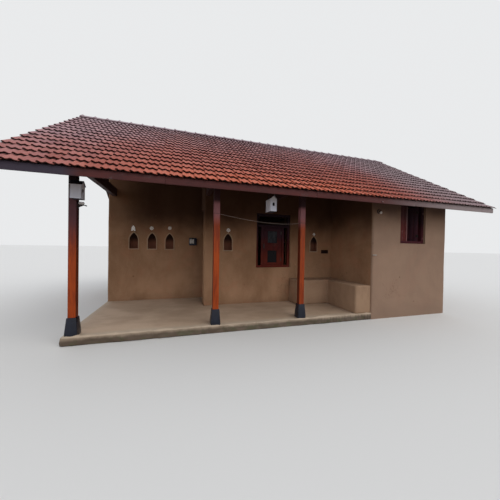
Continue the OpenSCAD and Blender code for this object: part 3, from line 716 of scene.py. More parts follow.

# %% [markdown]
# ## Fired clay
# No two tiles come out of a kiln alike, and the roof has stood in the weather: brick red and orange low in
# the middle, and mauve-grey towards the ridge and both verges, which is a painted reflection of the sky
# over some weathering and lichen. Each tile carries two random numbers as attributes, `tone` and `age`,
# and the place on the roof decides how much of the painted reflection goes on. A third attribute, `along`,
# runs up the tile: a painted shadow darkens it where the next course laps it. A painted haze of light
# greys the right-hand end.

# %% Tile finish
def clay(name, greyness, weathered_and_sheen, laps):
    c = Finish(name, Roughness=0.7, Specular_IOR_Level=0.35)
    tone, age = c.attribute("tone"), c.attribute("age")
    cloud = c.grain(0.55, 3, 0.55, warp=0.5)
    mottle = c.grain(14, 4, 0.65)
    speck = c.grain(95, 3, 0.7)
    stops = ((0.0, (0.225, 0.050, 0.038)), (0.35, (0.325, 0.078, 0.054)), (0.7, (0.410, 0.112, 0.078)),
             (1.0, (0.500, 0.170, 0.122)))
    fired = c.node("ShaderNodeValToRGB", {"stops": stops}, tone * 0.45 + mottle * 0.40 + cloud * 0.2 - 0.05)
    low_mid = (c.step("Z", 3.4, 2.7) * c.step("X", -4.2, -1.5) * c.step("X", 2.6, 0.2)
               * c.step("Y", 0.2, -0.2, 0.3, 1.0))
    fired = c.mix(low_mid * 0.65, fired, (0.630, 0.140, 0.058))
    height = c.step("Z", 2.75, 4.75)
    # Greyer towards the ridge and both verges: a painted reflection of the sky, with some weathering by each
    # tile's age.
    grey = c.between(height * 0.62 + c.step("X", -2.6, -5.0) * 0.45 + c.step("X", 0.8, 4.6) * 0.55
                     + cloud * 0.25 + age * 0.16 + greyness, 0.30, 1.15)
    colour = c.mix(grey * 0.92, fired, c.mix(tone, *weathered_and_sheen))
    # Painted light: a pale haze over the right-hand end, and a grey sheen along the top courses.
    colour = c.tint(colour, [(0.80, (0.310, 0.242, 0.254), ("X", 2.0, 4.3)),
                             (0.50, (0.300, 0.222, 0.250), ("Z", 4.60, 4.90))])
    lichen = c.between(mottle * 0.6 + speck * 0.4, 0.58, 0.70) * c.between(age, 0.35, 0.95)
    colour = c.mix(lichen * 0.30, colour, (0.10, 0.075, 0.07))
    if laps:
        # Painted shadow under the lap of the next course: near black low on the roof, greyer higher up.
        lap = c.between(c.attribute("along") + mottle * 0.06, 0.76, 0.98)
        colour = c.mix(lap * 0.90, colour, c.mix(height, (0.022, 0.007, 0.006), (0.100, 0.060, 0.066)))
    c.bump(mottle * 0.5 + speck * 0.35, 0.0025)
    return c.show(colour, c.between(mottle + age * 0.3, 0.3, 1.0, 0.58, 0.85))


tile_clay = clay("tile_clay", 0.0, ((0.300, 0.178, 0.198), (0.412, 0.254, 0.276)), True)
ridge_clay = clay("ridge_clay", 0.5, ((0.280, 0.212, 0.240), (0.360, 0.275, 0.305)), False)

# %% [markdown]
# ## One roof tile
# The tile is the interlocking kind: a roll along its left side that covers the neighbour's lock, two flat
# channels, and a low rib between them. Its lower edge hangs a little further down in the channels, which
# gives each course its scalloped line. It is a closed shell of a few dozen faces, because there are
# eighteen hundred of them.

# %% Tile mesh
COLUMNS = 54
TILE_W = 2 * ROOF_HALF / COLUMNS
TILE_PROFILE = [(-0.020, 0.002, 0.0), (-0.012, 0.012, 0.0), (0.000, 0.016, 0.0), (0.015, 0.012, 0.1),
                (0.034, 0.001, 0.5), (0.050, -0.002, 0.6), (0.068, 0.002, 0.4), (0.086, 0.009, 0.2),
                (0.100, 0.009, 0.3), (0.116, 0.001, 0.6), (0.134, -0.006, 0.9), (0.152, -0.008, 1.0),
                (0.168, -0.009, 1.2), (TILE_W - 0.004, -0.010, 1.3)]
TILE_HIGH, TILE_LOW, TILE_T, TILE_LAP, TILE_DROOP, TILE_LIP = 0.046, 0.020, 0.012, 0.035, 0.010, 0.020


def tile_mesh():
    """Five rows of the profile, from the lower edge up over the top and back underneath."""
    bm = bmesh.new()
    share = bm.verts.layers.float.new("along")
    fall = (TILE_HIGH - TILE_LOW) / COURSE_LEN
    head = COURSE_LEN + TILE_LAP
    rows = []
    # The third number of each row is its value of `along`, which the painted lap shadow reads. Underneath,
    # the shadow is whole.
    for y, down, lap_shadow in ((0.0, 0.0, 0.0), (head - 0.014, 0.0, (head - 0.014) / COURSE_LEN),
                          (head, -TILE_LIP, 1.2), (head, TILE_T, 2.0), (0.0, TILE_T, 2.0)):
        row = []
        for x, lift, droop in TILE_PROFILE:
            at = y - (TILE_DROOP * droop if y == 0 else 0)
            row.append(bm.verts.new((x, at, TILE_HIGH - y * fall + lift - down)))
            row[-1][share] = lap_shadow
        rows.append(row)
    for a, b in zip(rows, rows[1:] + rows[:1]):
        for corners in zip(a, a[1:], b[1:], b):
            bm.faces.new(corners)
    bm.faces.new([row[0] for row in rows])
    bm.faces.new([row[-1] for row in rows[::-1]])
    face_out(bm, bm.faces)
    soften(bm, 50)
    return put("tile_shape", mesh_from("tile_shape", bm))


tile_shape = tile_mesh()
print("one tile has", len(tile_shape.data.polygons), "faces")

# %% [markdown]
# ## Laying the tiles with Geometry Nodes
# The number of a point gives its column and its row on the slope, and each point carries a tile. Random
# values shift, turn and tone each tile, always from the same seed. The tree ends in Realize Instances and
# Set Material, and the result is baked to a plain mesh. The same tree lays both slopes: an input turns the
# tiles for the back. The top row is cut short under the ridge.

# %% A builder for the roof's geometry trees
class Tree(Nodes):
    """A Geometry Nodes tree with named inputs, which sets the object `Tile` on points."""

    def __init__(self, name, **inputs):
        super().__init__(bpy.data.node_groups.new(name, "GeometryNodeTree"))
        ports = self.tree.interface
        ports.new_socket("Geometry", in_out="OUTPUT", socket_type="NodeSocketGeometry")
        inputs.update(Start="Vector", Seed="Int", Tile="Object", Material="Material")
        self.ids = {key: ports.new_socket(key, in_out="INPUT", socket_type="NodeSocket" + kind).identifier
                    for key, kind in inputs.items()}
        self.source = self.tree.nodes.new("NodeGroupInput")
        self.index = self.node("GeometryNodeInputIndex")

    def take(self, key):
        return Wire(self, next(s for s in self.source.outputs if s.identifier == self.ids[key]))

    def vector(self, *parts):
        return self.node("ShaderNodeCombineXYZ", {}, *parts)

    def turned(self, vector, rotation):
        return self.node("ShaderNodeVectorRotate", {"rotation_type": "EULER_XYZ"}, Vector=vector,
                         Rotation=rotation)

    def rotation(self, angles):
        return self.node("FunctionNodeEulerToRotation", Euler=angles)

    def random(self, seed, spread=None):
        """A number from 0 to 1 for each tile, or a vector whose parts lie within the spread."""
        kind, low, high = ("FLOAT_VECTOR", (-spread,) * 3, (spread,) * 3) if spread else ("FLOAT", 0.0, 1.0)
        return self.node("FunctionNodeRandomValue", {"data_type": kind}, Min=low, Max=high, ID=self.index,
                         Seed=self.take("Seed") + seed)

    def set_tiles(self, count, position, tone_seed, age_seed, **turn_and_scale):
        points = self.node("GeometryNodePoints", Count=count)
        points = self.node("GeometryNodeSetPosition", Geometry=points, Position=position)
        tile = self.node("GeometryNodeObjectInfo", out="Geometry", Object=self.take("Tile"))
        made = self.node("GeometryNodeInstanceOnPoints", Points=points, Instance=tile, **turn_and_scale)
        for key, seed in (("tone", tone_seed), ("age", age_seed)):
            made = self.node("GeometryNodeStoreNamedAttribute", {"data_type": "FLOAT", "domain": "INSTANCE"},
                             Geometry=made, Name=key, Value=self.random(seed))
        made = self.node("GeometryNodeRealizeInstances", Geometry=made)
        made = self.node("GeometryNodeSetMaterial", Geometry=made, Material=self.take("Material"))
        self.feed(self.tree.nodes.new("NodeGroupOutput").inputs[0], made)

    def run(self, name, **values):
        """Runs the tree on an empty mesh and returns an object with the plain result."""
        carrier = put(name, bpy.data.meshes.new(name))
        modifier = carrier.modifiers.new(name, "NODES")
        modifier.node_group = self.tree
        for key, value in values.items():
            modifier[self.ids[key]] = value
        plain_mesh(carrier)
        print(name, len(carrier.data.polygons), "faces")
        return carrier


# %% The tiles' tree
TOP_ROW, TILE_SHIFT, TILE_LEAN = 0.44, 0.0022, radians(0.55)
laying = Tree("laying", Columns="Int", Rows="Int", Width="Float", Course="Float", Pitch="Float",
              Facing="Float")
columns = laying.take("Columns")
column = laying.maths("MODULO", laying.index, columns)
row = laying.maths("FLOOR", laying.maths("DIVIDE", laying.index, columns))
flat = laying.vector(column * laying.take("Width"), row * laying.take("Course"))
tilt = laying.vector(laying.take("Pitch"))
facing = laying.vector(0.0, 0.0, laying.take("Facing"))
on_slope = laying.turned(laying.moved(flat, laying.random(11, TILE_SHIFT)), tilt)
leaning = laying.rotation(laying.moved(tilt, laying.random(23, TILE_LEAN)))
is_top = laying.maths("GREATER_THAN", row, COURSES - 0.5)
laying.set_tiles(
    columns * laying.take("Rows"), laying.turned(laying.moved(on_slope, laying.take("Start")), facing),
    tone_seed=5, age_seed=17, Scale=laying.vector(1.0, 1.0 - is_top * (1 - TOP_ROW), 1.0),
    Rotation=laying.node("FunctionNodeRotateRotation", {"rotation_space": "GLOBAL"}, Rotation=leaning,
                         Rotate_By=laying.rotation(facing)))

# %% Both slopes
for name, facing, node, seed in (("roof_tiles_front", 0.0, "tiles_front", 3),
                                 ("roof_tiles_back", pi, "tiles_back", 40)):
    slope = laying.run(name, Columns=COLUMNS, Rows=COURSES + 1, Width=TILE_W, Course=COURSE_LEN, Pitch=PITCH,
                       Start=(-ROOF_HALF + 0.004, -RUN, EAVE_Z), Facing=facing, Seed=seed, Tile=tile_shape,
                       Material=tile_clay)
    hand_over(slope, [node])
bpy.data.objects.remove(tile_shape)

# %% [markdown]
# ## Ridge tiles
# The ridge is closed by one row of angled tiles, each with a collar that laps the next. The collars stand
# up in small points, which is what gives the roof's skyline its row of bumps. One tile is lofted from
# sections along its length, and a second tree sets them in a row.

# %% Ridge tile mesh
RIDGE_COUNT, RIDGE_LEN, RIDGE_T, RIDGE_LEG, CROWN_R = 34, 0.294, 0.016, 0.150, 0.070
APEX_Z = EAVE_Z + RUN * tan(PITCH)
CROWN_Z = APEX_Z + (TILE_HIGH - (CROWN_R - RIDGE_T)) / cos(PITCH)


def ridge_section(extra, point):
    """The outline across the ridge, outside and then back inside; point lifts the crown's middle."""
    outline = []
    for radius, order in ((CROWN_R + extra, 1), (CROWN_R - RIDGE_T, -1)):
        turns = [PITCH * k / 3 for k in range(-3, 4)]
        arc = [(radius * sin(t), radius * cos(t) + (point if radius > CROWN_R and k == 3 else 0))
               for k, t in enumerate(turns)]
        foot = (radius * sin(PITCH) + RIDGE_LEG * cos(PITCH), radius * cos(PITCH) - RIDGE_LEG * sin(PITCH))
        outline += [(-foot[0], foot[1]), *arc, foot][::order]
    return outline


def ridge_mesh():
    """A collar of four sections and a plain end; strips of faces close both ends."""
    bm = bmesh.new()
    sections = ((0.0, 0.012, 0.010), (0.010, 0.014, 0.020), (0.040, 0.012, 0.006), (0.052, 0.001, 0.0),
                (RIDGE_LEN + 0.012, -0.002, 0.0))
    rings = [[bm.verts.new((x, y, z)) for y, z in ridge_section(extra, point)]
             for x, extra, point in sections]
    bridge(bm, rings)
    for ring in (rings[0], rings[-1]):
        half = len(ring) // 2
        outside, inside = ring[:half], ring[half:][::-1]
        for corners in zip(outside, outside[1:], inside[1:], inside):
            bm.faces.new(corners)
    face_out(bm, bm.faces)
    soften(bm)
    return put("ridge_shape", mesh_from("ridge_shape", bm))


# %% The row of ridge tiles
CAP_SHIFT, CAP_TURN = 0.0018, 0.010
ridge_shape = ridge_mesh()
capping = Tree("capping", Count="Int", Step="Float")
spaced = capping.moved(capping.vector(capping.index * capping.take("Step")), capping.take("Start"))
capping.set_tiles(capping.take("Count"), capping.moved(spaced, capping.random(3, CAP_SHIFT)),
                  tone_seed=21, age_seed=34, Rotation=capping.rotation(capping.random(9, CAP_TURN)))
caps = capping.run("roof_ridge", Count=RIDGE_COUNT, Step=RIDGE_LEN,
                   Start=(-RIDGE_COUNT / 2 * RIDGE_LEN, 0, CROWN_Z), Seed=8, Tile=ridge_shape,
                   Material=ridge_clay)
hand_over(caps, ["ridge_tiles"])
bpy.data.objects.remove(ridge_shape)

# %% [markdown]
# ## Timber finishes
# Three kinds of coat cover the wood: an orange-red varnish on the posts, a dark brown stain on the roof
# timbers and boards, and paint on the windows and nest boxes, mostly a deep maroon. All show the grain,
# drawn out along the member by stretching noise along its axis. The gloss of the posts is a thin clear
# coat over a rougher ground. Bands of tint are painted light and shade: dark tops under the eaves, the
# posts' shaded sides and their painted sky reflection, and a painted sheen and glow at the eave boards' ends.

# %% Wood finishes
def timber(name, pale, deep, along, rough=(0.55, 0.8), coat=0.0, wear=None, sheen=0.3, bands=()):
    t = Finish(name, Specular_IOR_Level=sheen, Coat_Weight=coat, Coat_Roughness=0.12)
    drawn = t.stretched(*(0.07 if letter == along else 1 for letter in "XYZ"))
    figure = t.grain(22, 4, 0.6, drawn, warp=1.2)
    pores = t.grain(150, 3, 0.6, drawn)
    patches = t.grain(1.8, 3, 0.6)
    colour = t.mix(t.between(figure * 0.6 + pores * 0.2 + patches * 0.3, 0.38, 0.72), deep, pale)
    if wear:
        scuffs = t.between(t.grain(6, 4, 0.7, warp=0.6) + pores * 0.12, 0.66, 0.74)
        colour = t.mix(scuffs * 0.6, colour, wear)
    t.bump(figure * 0.6 + pores * 0.4, 0.0012)
    return t.show(t.tint(colour, bands), t.between(figure, 0.3, 0.7, *rough))


def paint(name, pale, deep, wear, *bands):
    return timber(name, pale, deep, "Z", (0.6, 0.8), 0.0, wear, 0.15, bands)


# Painted light and shade on the posts: the shaded left sides of the second and third posts, a painted sky
# reflection on their upper parts, painted shade on the first post's upper part and right side, and dark tops
# in the shade under the eave.
POST_PAINTED_LIGHT = [(0.70, (0.035, 0.004, 0.003), ("X", -1.8265, -1.8285), ("X", -3.0, -2.9)),
              (0.70, (0.035, 0.004, 0.003), ("X", 0.0125, 0.0105), ("X", -1.0, -0.9)),
              (0.85, (0.350, 0.160, 0.185), ("Z", 2.02, 2.34), ("X", -3.5, -3.0)),
              (0.92, (0.070, 0.024, 0.034), ("Z", 1.45, 2.15), ("X", -3.0, -3.5)),
              (0.60, (0.020, 0.004, 0.004), ("X", -4.062, -4.059), ("X", -3.0, -3.5)),
              (0.93, (0.015, 0.004, 0.005), ("Z", 2.45, 2.55))]
post_varnish = timber("post_varnish", (0.43, 0.066, 0.006), (0.20, 0.025, 0.003), "Z", (0.45, 0.6), 0.10,
                      sheen=0.2, bands=POST_PAINTED_LIGHT)
roof_stain, roof_stain_y = (timber(name, (0.050, 0.018, 0.016), (0.022, 0.008, 0.008), along)
                            for name, along in (("roof_stain", "X"), ("roof_stain_y", "Y")))
# Painted light on the eave boards: a bluish sheen of the sky at the left end, a pale glow at the right end.
BOARD_PAINTED_LIGHT = [(0.85, (0.044, 0.041, 0.066), ("X", -3.75, -4.05)),
               (0.88, (0.345, 0.285, 0.292), ("X", 1.2, 3.8))]
board_stain = timber("board_stain", (0.115, 0.029, 0.027), (0.055, 0.014, 0.014), "X", (0.55, 0.75),
                     wear=(0.100, 0.060, 0.060), bands=BOARD_PAINTED_LIGHT)
# Painted light and shade by height: redder and lighter low down, darker higher up and near black under the
# eave.
window_paint = paint("window_paint", (0.120, 0.020, 0.017), (0.060, 0.009, 0.010), (0.12, 0.045, 0.035),
                     (0.60, (0.190, 0.030, 0.015), ("Z", 1.66, 1.36)),
                     (0.75, (0.040, 0.018, 0.030), ("Z", 1.76, 1.98)),
                     (0.88, (0.010, 0.005, 0.009), ("Z", 2.02, 2.34)))
# Painted shade: near black at the top under the eave.
room_paint = paint("room_paint", (0.090, 0.016, 0.022), (0.050, 0.009, 0.014), (0.12, 0.05, 0.05),
                   (0.80, (0.010, 0.005, 0.009), ("Z", 2.05, 2.40)))
# Painted shade: darker at the top under the eave.
shutter_paint = paint("shutter_paint", (0.210, 0.042, 0.037), (0.110, 0.023, 0.023), (0.30, 0.13, 0.12),
                      (0.75, (0.045, 0.026, 0.030), ("Z", 2.15, 2.60)))
# Painted shade: darker and bluer at the top under the eave.
inner_paint = paint("inner_paint", (0.150, 0.056, 0.074), (0.090, 0.036, 0.055), (0.25, 0.11, 0.11),
                    (0.60, (0.060, 0.052, 0.075), ("Z", 2.05, 2.55)))
# Painted shade: darker and greyer at the top under the eave.
strip_paint = timber("strip_paint", (0.30, 0.125, 0.120), (0.20, 0.080, 0.080), "Z", (0.5, 0.7),
                     bands=[(0.7, (0.16, 0.12, 0.13), ("Z", 2.10, 2.55))])
nest_white = timber("nest_white", (0.80, 0.84, 0.97), (0.68, 0.72, 0.84), "Z", (0.6, 0.8))
nest_roof = timber("nest_roof", (0.030, 0.020, 0.030), (0.012, 0.009, 0.014), "X", (0.6, 0.8))

# %% [markdown]
# ## Paint, iron, plastic and glass
# The small things have plain finishes: one noise that blends two colours and varies the gloss. The black
# paint of the footings has dust that lies thicker near the ground. The panes carry a painted sheen of the
# sky with some dust, and grow darker at the foot as painted shade of the dark room behind them.

# %% The other finishes
dark_iron = speckled("dark_iron", (30, 4, 0.65), (0.5, 0.62), ((0.045, 0.040, 0.042), (0.13, 0.06, 0.035)),
                     (0.4, 0.7, 0.4, 0.85), 0.0006, Roughness=0.6, Metallic=0.6)
pale_plastic = speckled("pale_plastic", (18, 4, 0.6), (0.45, 0.7), ((0.62, 0.61, 0.58), (0.42, 0.39, 0.35)),
                        (0.4, 0.7, 0.3, 0.55), Roughness=0.35)
bulb_glass = speckled("bulb_glass", (12, 3), None, ((0.84, 0.83, 0.85), (0.92, 0.91, 0.92)),
                      (0.3, 0.7, 0.12, 0.3), Roughness=0.15)

g = Finish("black_gloss", Roughness=0.3, Coat_Weight=0.15, Specular_IOR_Level=0.3, Coat_Roughness=0.12)
dusting = g.grain(7, 4, 0.65)
g.bump(g.grain(35, 3), 0.001)
black_gloss = g.show(g.mix(g.between(dusting + g.axis("Z") * -0.4, 0.28, 0.62),
                           (0.003, 0.005, 0.014), (0.011, 0.014, 0.028)),
                     g.between(dusting, 0.35, 0.65, 0.25, 0.6))

q = Finish("dusty_pane", Roughness=0.25, Specular_IOR_Level=0.08)
smear = q.grain(5, 4, 0.65, q.stretched(1, 1, 0.5))
# Dust with a painted sheen of the sky: lighter bluish streaks on dark glass.
dust_and_sheen = q.mix(q.between(smear, 0.40, 0.70), (0.016, 0.017, 0.022), (0.055, 0.060, 0.072))
# Painted shade at the foot: the lower pane goes near black, as the dark room behind it.
dusty_pane = q.show(q.tint(dust_and_sheen, [(0.90, (0.008, 0.005, 0.006), ("Z", 1.75, 1.62))]),
                    q.between(smear, 0.35, 0.7, 0.12, 0.5))

# %% [markdown]
# ## Pieces that keep their CAD shape
# Rafters, laths, beams and verge boards are plain sawn sections, so the CAD meshes are right as they are.
# They only take a finish, with the grain along the way each one runs. So do the posts, the room's floor
# and the panes.

# %% Finishes for carried CAD nodes
carried = [
    (roof_stain, "roof_wood", ["front_beam", "back_beam", "ridge_beam", "laths_front", "laths_back"]),
    (roof_stain_y, "roof_wood", ["tie_beams", "rafters_front", "rafters_back", "verge_board_left",
                                 "verge_board_right"]),
    (floor_look, "mud_floor", ["room_floor"]), (dusty_pane, "pane", ["middle_window_panes"]),
    (post_varnish, "post_wood", ["post_1", "post_2", "post_3"])]
for finish, slot, nodes in carried:
    for node in nodes:
        materials = frame["nodes"][node].data.materials
        materials.clear()
        materials.append(finish)
print("CAD nodes with new finishes:", sum(len(nodes) for _, _, nodes in carried))

# %% [markdown]
# ## Eave boards, footings and frames
# These are the CAD shapes with their sharp edges eased: a copy of the node is merged, its edges are
# bevelled, and the copy replaces the node. The eave board is one long solid in CAD. A real one is nailed
# up from several lengths, so the copy is cut into boards, each shifted by a millimetre or two.

# %% Eased copies
def eased(name, node, width, finish, segments=2):
    bm = copy_of(node)
    round_edges(bm, width, segments, 30)
    piece(name, bm, finish, [node])


for number in (1, 2, 3):
    eased("footing_%d" % number, "post_footing_%d" % number, 0.010, black_gloss, 3)
for name, node, width, finish in (
        ("door_casing", "door_frame", 0.004, window_paint),
        ("middle_casing", "middle_window_frame", 0.004, window_paint),
        ("room_casing", "room_window_frame", 0.004, room_paint),
        ("back_casings", "back_window_frames", 0.004, window_paint),
        ("middle_leaf", "middle_window_leaf", 0.005, window_paint)):
    eased(name, node, width, finish)

# %% Eave boards in four lengths
JOINT_GAP = 0.003


def boards_from(name, node, joints, rng):
    whole = bmesh.new()
    for start, end in zip(joints, joints[1:]):
        bm = copy_of(node)
        for x, side in ((start + JOINT_GAP / 2, -1), (end - JOINT_GAP / 2, 1)):
            cut = bmesh.ops.bisect_plane(bm, geom=[*bm.verts, *bm.edges, *bm.faces], dist=1e-6,
                                         plane_co=(x, 0, 0), plane_no=(side, 0, 0), clear_outer=True)
            rim = [e for e in cut["geom_cut"] if isinstance(e, bmesh.types.BMEdge)]
            if rim:
                bmesh.ops.contextual_create(bm, geom=rim)
        bmesh.ops.translate(bm, verts=bm.verts,
                            vec=(0, rng.uniform(-0.002, 0.002), rng.uniform(-0.0025, 0.0025)))
        face_out(bm, bm.faces)
        round_edges(bm, 0.003, 2, 30)
        board = mesh_from("board", bm)
        whole.from_mesh(board)
        bpy.data.meshes.remove(board)
    piece(name, whole, board_stain, [node])


rng = random.Random(12)
eave_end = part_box("fascia_front")[1].x
boards_from("eave_boards_front", "fascia_front", [-eave_end, -2.67, -0.013, 2.42, eave_end], rng)
boards_from("eave_boards_back", "fascia_back", [-eave_end, -2.45, 0.08, 2.60, eave_end], rng)

# %% [markdown]
# ## Window furniture
# The middle window has one glazed leaf between two open slots. Thin beads hold its panes, two butt hinges
# carry it and a bolt shuts it. The high windows have ledged shutters: upright planks held by two ledges on
# the inside. Each shutter is made flat and closed at its hinge, and then turned by the angle in the CAD.

# %% The middle leaf's beads, hinges and bolt
STILE, RAIL_TOP, RAIL_MID, RAIL_FOOT, BEAD = 0.130, 0.100, 0.190, 0.060, 0.012
IRON, STRIP, INNER = 1, 2, 3
leaf_low, leaf_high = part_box("middle_window_leaf")
leaf_face = leaf_low.y
fittings = bmesh.new()
pane_h = (leaf_high.z - leaf_low.z - RAIL_TOP - RAIL_MID - RAIL_FOOT) / 2
x0, x1, y0 = leaf_low.x + STILE, leaf_high.x - STILE, leaf_face + 0.002
for z0 in (leaf_low.z + RAIL_FOOT, leaf_high.z - RAIL_TOP - pane_h):
    z1 = z0 + pane_h
    for low, high in (((x0, z0), (x1, z0 + BEAD)), ((x0, z1 - BEAD), (x1, z1)),
                      ((x0, z0 + BEAD), (x0 + BEAD, z1 - BEAD)), ((x1 - BEAD, z0 + BEAD), (x1, z1 - BEAD))):
        add_box(fittings, (low[0], y0, low[1]), (high[0], y0 + 0.0155, high[1]))
round_edges(fittings, 0.0025)


def add_plate(left, right, z, half, front=-0.003, back=0.001):
    add_box(fittings, (left, leaf_face + front, z - half), (right, leaf_face + back, z + half), tone=IRON)


def add_pin(x, out, z, half, radius):
    add_rod(fittings, (x, leaf_face - out, z - half), (x, leaf_face - out, z + half), radius, tone=IRON)


for z in (leaf_low.z + 0.16, leaf_high.z - 0.16):
    add_pin(leaf_high.x + 0.004, 0.004, z, 0.045, 0.006)
    add_plate(leaf_high.x - 0.035, leaf_high.x + 0.002, z, 0.04)
bolt_z = (leaf_low.z + leaf_high.z) / 2
add_plate(leaf_low.x + 0.012, leaf_low.x + 0.045, bolt_z, 0.05)
add_pin(leaf_low.x + 0.028, 0.009, bolt_z, 0.07, 0.0055)
for z in (bolt_z - 0.04, bolt_z, bolt_z + 0.04):
    add_plate(leaf_low.x + 0.017, leaf_low.x + 0.039, z, 0.006, -0.016, -0.002)
piece("leaf_fittings", fittings, [window_paint, dark_iron])

# %% Ledged shutters
ROOM_WIN_X, WIN_W, WIN_LOW, BACK_HEAD = 3.13, 0.82, PLINTH + 1.66, BEAM_LOW - 0.14
LEAF_T, PLANK_T, PLANK_GAP, LEDGE = 0.035, 0.021, 0.0016, 0.09


def add_shutter(bm, x, high, y, side, angle, strip=False, tone=0):
    """One leaf, hinged at the inner edge of its frame's bar; side is -1 for the left one."""
    half = WIN_W / 2 - FRAME_BAR
    place = Matrix.Translation((x + side * half, y, 0)) @ Matrix.Rotation(radians(side * -angle), 4, "Z")
    start, end = (0.0, half - 0.001) if side < 0 else (0.001 - half, 0.0)
    low, high = WIN_LOW + FRAME_BAR, high - FRAME_BAR
    step = (end - start) / 3
    for k in range(3):
        add_box(bm, (start + k * step + PLANK_GAP / 2, 0, low + 0.002),
                (start + (k + 1) * step - PLANK_GAP / 2, PLANK_T, high - 0.002), place, tone)
    for z in (low + 0.10, high - 0.19):
        add_box(bm, (start + 0.012, PLANK_T, z), (end - 0.012, LEAF_T, z + LEDGE), place, tone)
    if strip:
        free = end if side < 0 else start
        add_box(bm, (free - 0.046, -0.012, low + 0.004), (free - 0.002, 0, high - 0.004), place, STRIP)
    return place


shutters = bmesh.new()
room_y = WALL_FRONT + FRAME_IN
left_place = add_shutter(shutters, ROOM_WIN_X, BEAM_LOW, room_y + FRAME_DEP, -1, SHUTTER_LEFT, strip=True)
right_place = add_shutter(shutters, ROOM_WIN_X, BEAM_LOW, room_y + FRAME_DEP, 1, SHUTTER_RIGHT, tone=INNER)
round_edges(shutters, 0.004)
for z in (WIN_LOW + FRAME_BAR + 0.145, BEAM_LOW - FRAME_BAR - 0.145):
    for place, x0, x1 in ((left_place, 0, 0.05), (right_place, -0.05, 0)):
        add_box(shutters, (x0, -0.003, z - 0.03), (x1, 0.001, z + 0.03), place, IRON)
        add_rod(shutters, *(place @ Vector((0, -0.004, z + dz)) for dz in (-0.035, 0.035)), 0.006, tone=IRON)
for z in (1.95, 2.58):
    add_box(shutters, (3.498, room_y - 0.005, z - 0.022), (3.516, room_y + 0.002, z + 0.022), tone=STRIP)
piece("room_shutters", shutters, [shutter_paint, dark_iron, strip_paint, inner_paint],
      ["room_window_shutters"])

shutters = bmesh.new()
for x in (-2.1, 2.1):
    for side in (-1, 1):
        add_shutter(shutters, x, BACK_HEAD, WALL_BACK - FRAME_IN - FRAME_DEP / 2 - LEAF_T, side, 0)
round_edges(shutters, 0.004)
piece("back_shutters", shutters, shutter_paint, ["back_window_shutters"])

# %% [markdown]
# ## Nest boxes
# Two small gabled boxes of white boards hang on the verandah: one turned sideways at the first post, one
# on a strap under the beam. The CAD copies keep the hollow inside and the round entrance. The faces above
# the eaves line take the dark roof finish, the inside and the underside take it too as painted shade, and
# each box gets nail heads along its edges.

# %% Nest boxes from their CAD copies
NEST_PITCH, NEST_BOARD = radians(42), 0.010
DARK, METAL = 1, 2


def nest(name, node, centre, along, width, side, floor_z, length):
    """along is the box's ridge direction, from its entrance gable to the back; centre is the gable's foot."""
    bm = copy_of(node)
    across = Vector((0, 0, 1)).cross(along)
    round_edges(bm, 0.0016, 2, 35)
    for face in bm.faces:
        at = face.calc_center_median() - centre
        off, deep, up = abs(at.dot(across)), at.dot(along), at.z - floor_z
        inside = off < width / 2 - 0.002 and 0.002 < deep < length - 0.002 and up > 0.002
        # The roof faces are dark boards. The inside and the underside take the same dark finish as painted
        # shade.
        if up > side + (width / 2 - off) * tan(NEST_PITCH) - 0.0005 or inside or up < 0.0005:
            face.material_index = DARK
        if deep > length + 0.001 and off < 0.02:
            face.material_index = METAL
    for u in (-width / 2 + 0.006, width / 2 - 0.006):
        for k in range(4):
            at = centre + across * u + Vector((0, 0, floor_z + 0.02 + k * (side - 0.04) / 3))
            add_rod(bm, at + along * 0.001, at - along * 0.0012, 0.0022, 6, tone=METAL)
    piece(name, bm, [nest_white, nest_roof, dark_iron], [node])


NEST_LOW = BEAM_LOW - 0.466
nest("nest_box_on_post", "nest_box_post", Vector((POSTS_X[0] + 0.175, POST_Y - POST_W / 2 - 0.08, 0)),
     Vector((-1, 0, 0)), 0.16, 0.21, NEST_LOW, 0.15)
HUNG_W, HUNG_SIDE, HUNG_LEN = 0.13, 0.23, 0.25
HUNG_TOP = HUNG_SIDE + HUNG_W / 2 * tan(NEST_PITCH) + NEST_BOARD / cos(NEST_PITCH)
nest("nest_box_on_beam", "nest_box_hung", Vector((POSTS_X[1] + 1.045, POST_Y - 0.06 - HUNG_LEN - 0.014, 0)),
     Vector((0, 1, 0)), HUNG_W, HUNG_SIDE, BEAM_LOW - 0.18 - HUNG_TOP, HUNG_LEN)

# %% [markdown]
# ## Lamps and the switch board
# A bulb is a turned shape, so its outline is spun about its axis: a list of radius and height pairs, from
# one end to the other. The post's bulb lies along a steel arm; the wall's hangs below a round rose.

# %% Turned shapes
def add_turned(bm, outline, place, sides=20, tone=0):
    """Spins (radius, height) pairs about Z. The first and last radius are 0, which closes the shape."""
    rings = [[bm.verts.new(place @ Vector((r * cos(2 * pi * k / sides), r * sin(2 * pi * k / sides), z)))
              for k in range(sides if r else 1)] for r, z in outline]
    faces = bridge(bm, rings)
    toned(faces, tone)
    face_out(bm, faces)


# %% The lamp on the first post
HOLDER = [(0, 0), (0.022, 0), (0.027, 0.004), (0.027, 0.012), (0.024, 0.015), (0, 0.015)]
LAMP = [(0, 0.013), (0.022, 0.013), (0.025, 0.020), (0.025, 0.072), (0.022, 0.082), (0.015, 0.089),
        (0.007, 0.092), (0, 0.093)]
GLASS, ARM_HALF = 1, 0.028
arm_z, arm_x = NEST_LOW - 0.075, POSTS_X[0] + POST_W / 2
lamp_bm = bmesh.new()
for x0, x1, z0, z1 in ((0, 0.12, 0, 0.007), (0, 0.006, -0.045, 0), (0.114, 0.12, -0.012, 0)):
    add_box(lamp_bm, (arm_x + x0, POST_Y - ARM_HALF, arm_z + z0), (arm_x + x1, POST_Y + ARM_HALF, arm_z + z1))
round_edges(lamp_bm, 0.0015)
lying = Matrix.Translation((arm_x, POST_Y, arm_z + 0.034)) @ Matrix.Rotation(radians(90), 4, "Y")
